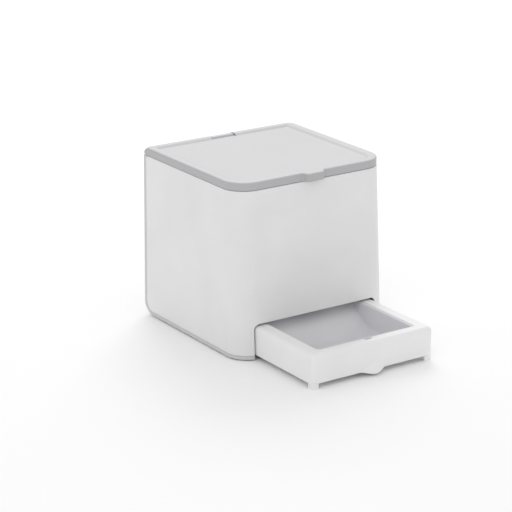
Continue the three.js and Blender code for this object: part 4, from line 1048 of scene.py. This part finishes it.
def makeFeet():
    names = ["foot_%d" % k for k in (1, 2, 3, 4)]
    points = [((low.x + high.x) / 2, (low.y + high.y) / 2, 0) for low, high in map(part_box, names)]
    piece = spread("rubber_feet", turned(footShape, (0, 0, 0), sides=48), finish["foot"], points)
    softenEdges(piece, smallEdge, segments=1, angle=50)
    finishPiece(piece, "housing", *names)


makeScrews()
makeFeet()
print("screws and feet made")


# carried-over pieces of the model: fine bevels, smooth shading and their materials

carried = {
    "inner": ["disc_housing", "mechanism_deck", "chute", "rail_left", "rail_right"],
    "disc": ["agitator"],
    "gear": ["disc_gear"],
    "black": ["battery_case", "power_switch", "power_rocker", "dc_jack", "sensor_emitter", "sensor_receiver"],
    "button": ["feed_button"],
    "lens": ["status_lens"],
    "seal": ["lid_seal"],
    "steel": ["hinge_pin", "drive_shaft", "contact_bridge", "contact_minus", "contact_plus"],
    "motor": ["gear_motor", "speaker"],
    "brass": ["motor_pinion"],
    "board": ["circuit_board"],
    "module": ["wireless_module"],
    "redLead": ["motor_lead"],
    "blackLead": ["speaker_lead"],
}
fineBevel = {"lens": 0.0002, "board": 0.00015, "steel": 0.0002, "gear": 0.0002, "brass": 0.00015, "module": 0.0002}
for kind, names in carried.items():
    for name in names:
        piece = nodes[name]
        piece.data.materials.clear()
        piece.data.materials.append(finish[kind])
        softenEdges(piece, fineBevel.get(kind, 0.0004), segments=2, angle=32, weld=0.00001)
print("carried-over pieces finished")


# floor and lights

studio = {"floor": 0.97, "sky": 0.8, "half": 30, "aim": (0, 0.03, 0.08)}
# power, width and place of each lamp
lamps = {"key": (3.8, 1.2, (-1.3, -0.9, 1.6)), "front": (0.8, 1.6, (0.6, -2.4, 0.7)),
         "top": (17.0, 1.3, (0.9, 1.5, 1.7))}


def makeStudio():
    sheet = bpy.data.meshes.new("floor")
    half = studio["half"]
    sheet.from_pydata([(-half, -half, 0), (half, -half, 0), (half, half, 0), (-half, half, 0)], [], [(0, 1, 2, 3)])
    material, tree, shader = newMaterial("studio_floor")
    place = objectPlace(tree)
    soft = noise(tree, place, 3.0)
    grey = (studio["floor"],) * 3
    paintFrom(tree, shader, soft, tint(grey, 0.99), tint(grey, 1.01))
    shader.inputs["Roughness"].default_value = 0.9
    floor = newPiece("floor", sheet, material)
    world = bpy.data.worlds.new("studio")
    world.use_nodes = True
    sky = world.node_tree.nodes["Background"]
    sky.inputs["Color"].default_value = (1, 1, 1, 1)
    sky.inputs["Strength"].default_value = studio["sky"]
    bpy.context.scene.world = world
    for name, (power, size, place) in lamps.items():
        lamp = bpy.data.lights.new(name, "AREA")
        lamp.energy = power
        lamp.size = size
        holder = bpy.data.objects.new(name, lamp)
        holder.location = place
        holder.rotation_euler = (Vector(studio["aim"]) - Vector(place)).to_track_quat("-Z", "Y").to_euler()
        room.objects.link(holder)
    bpy.context.scene.view_settings.view_transform = "Standard"


makeStudio()
print("studio made")
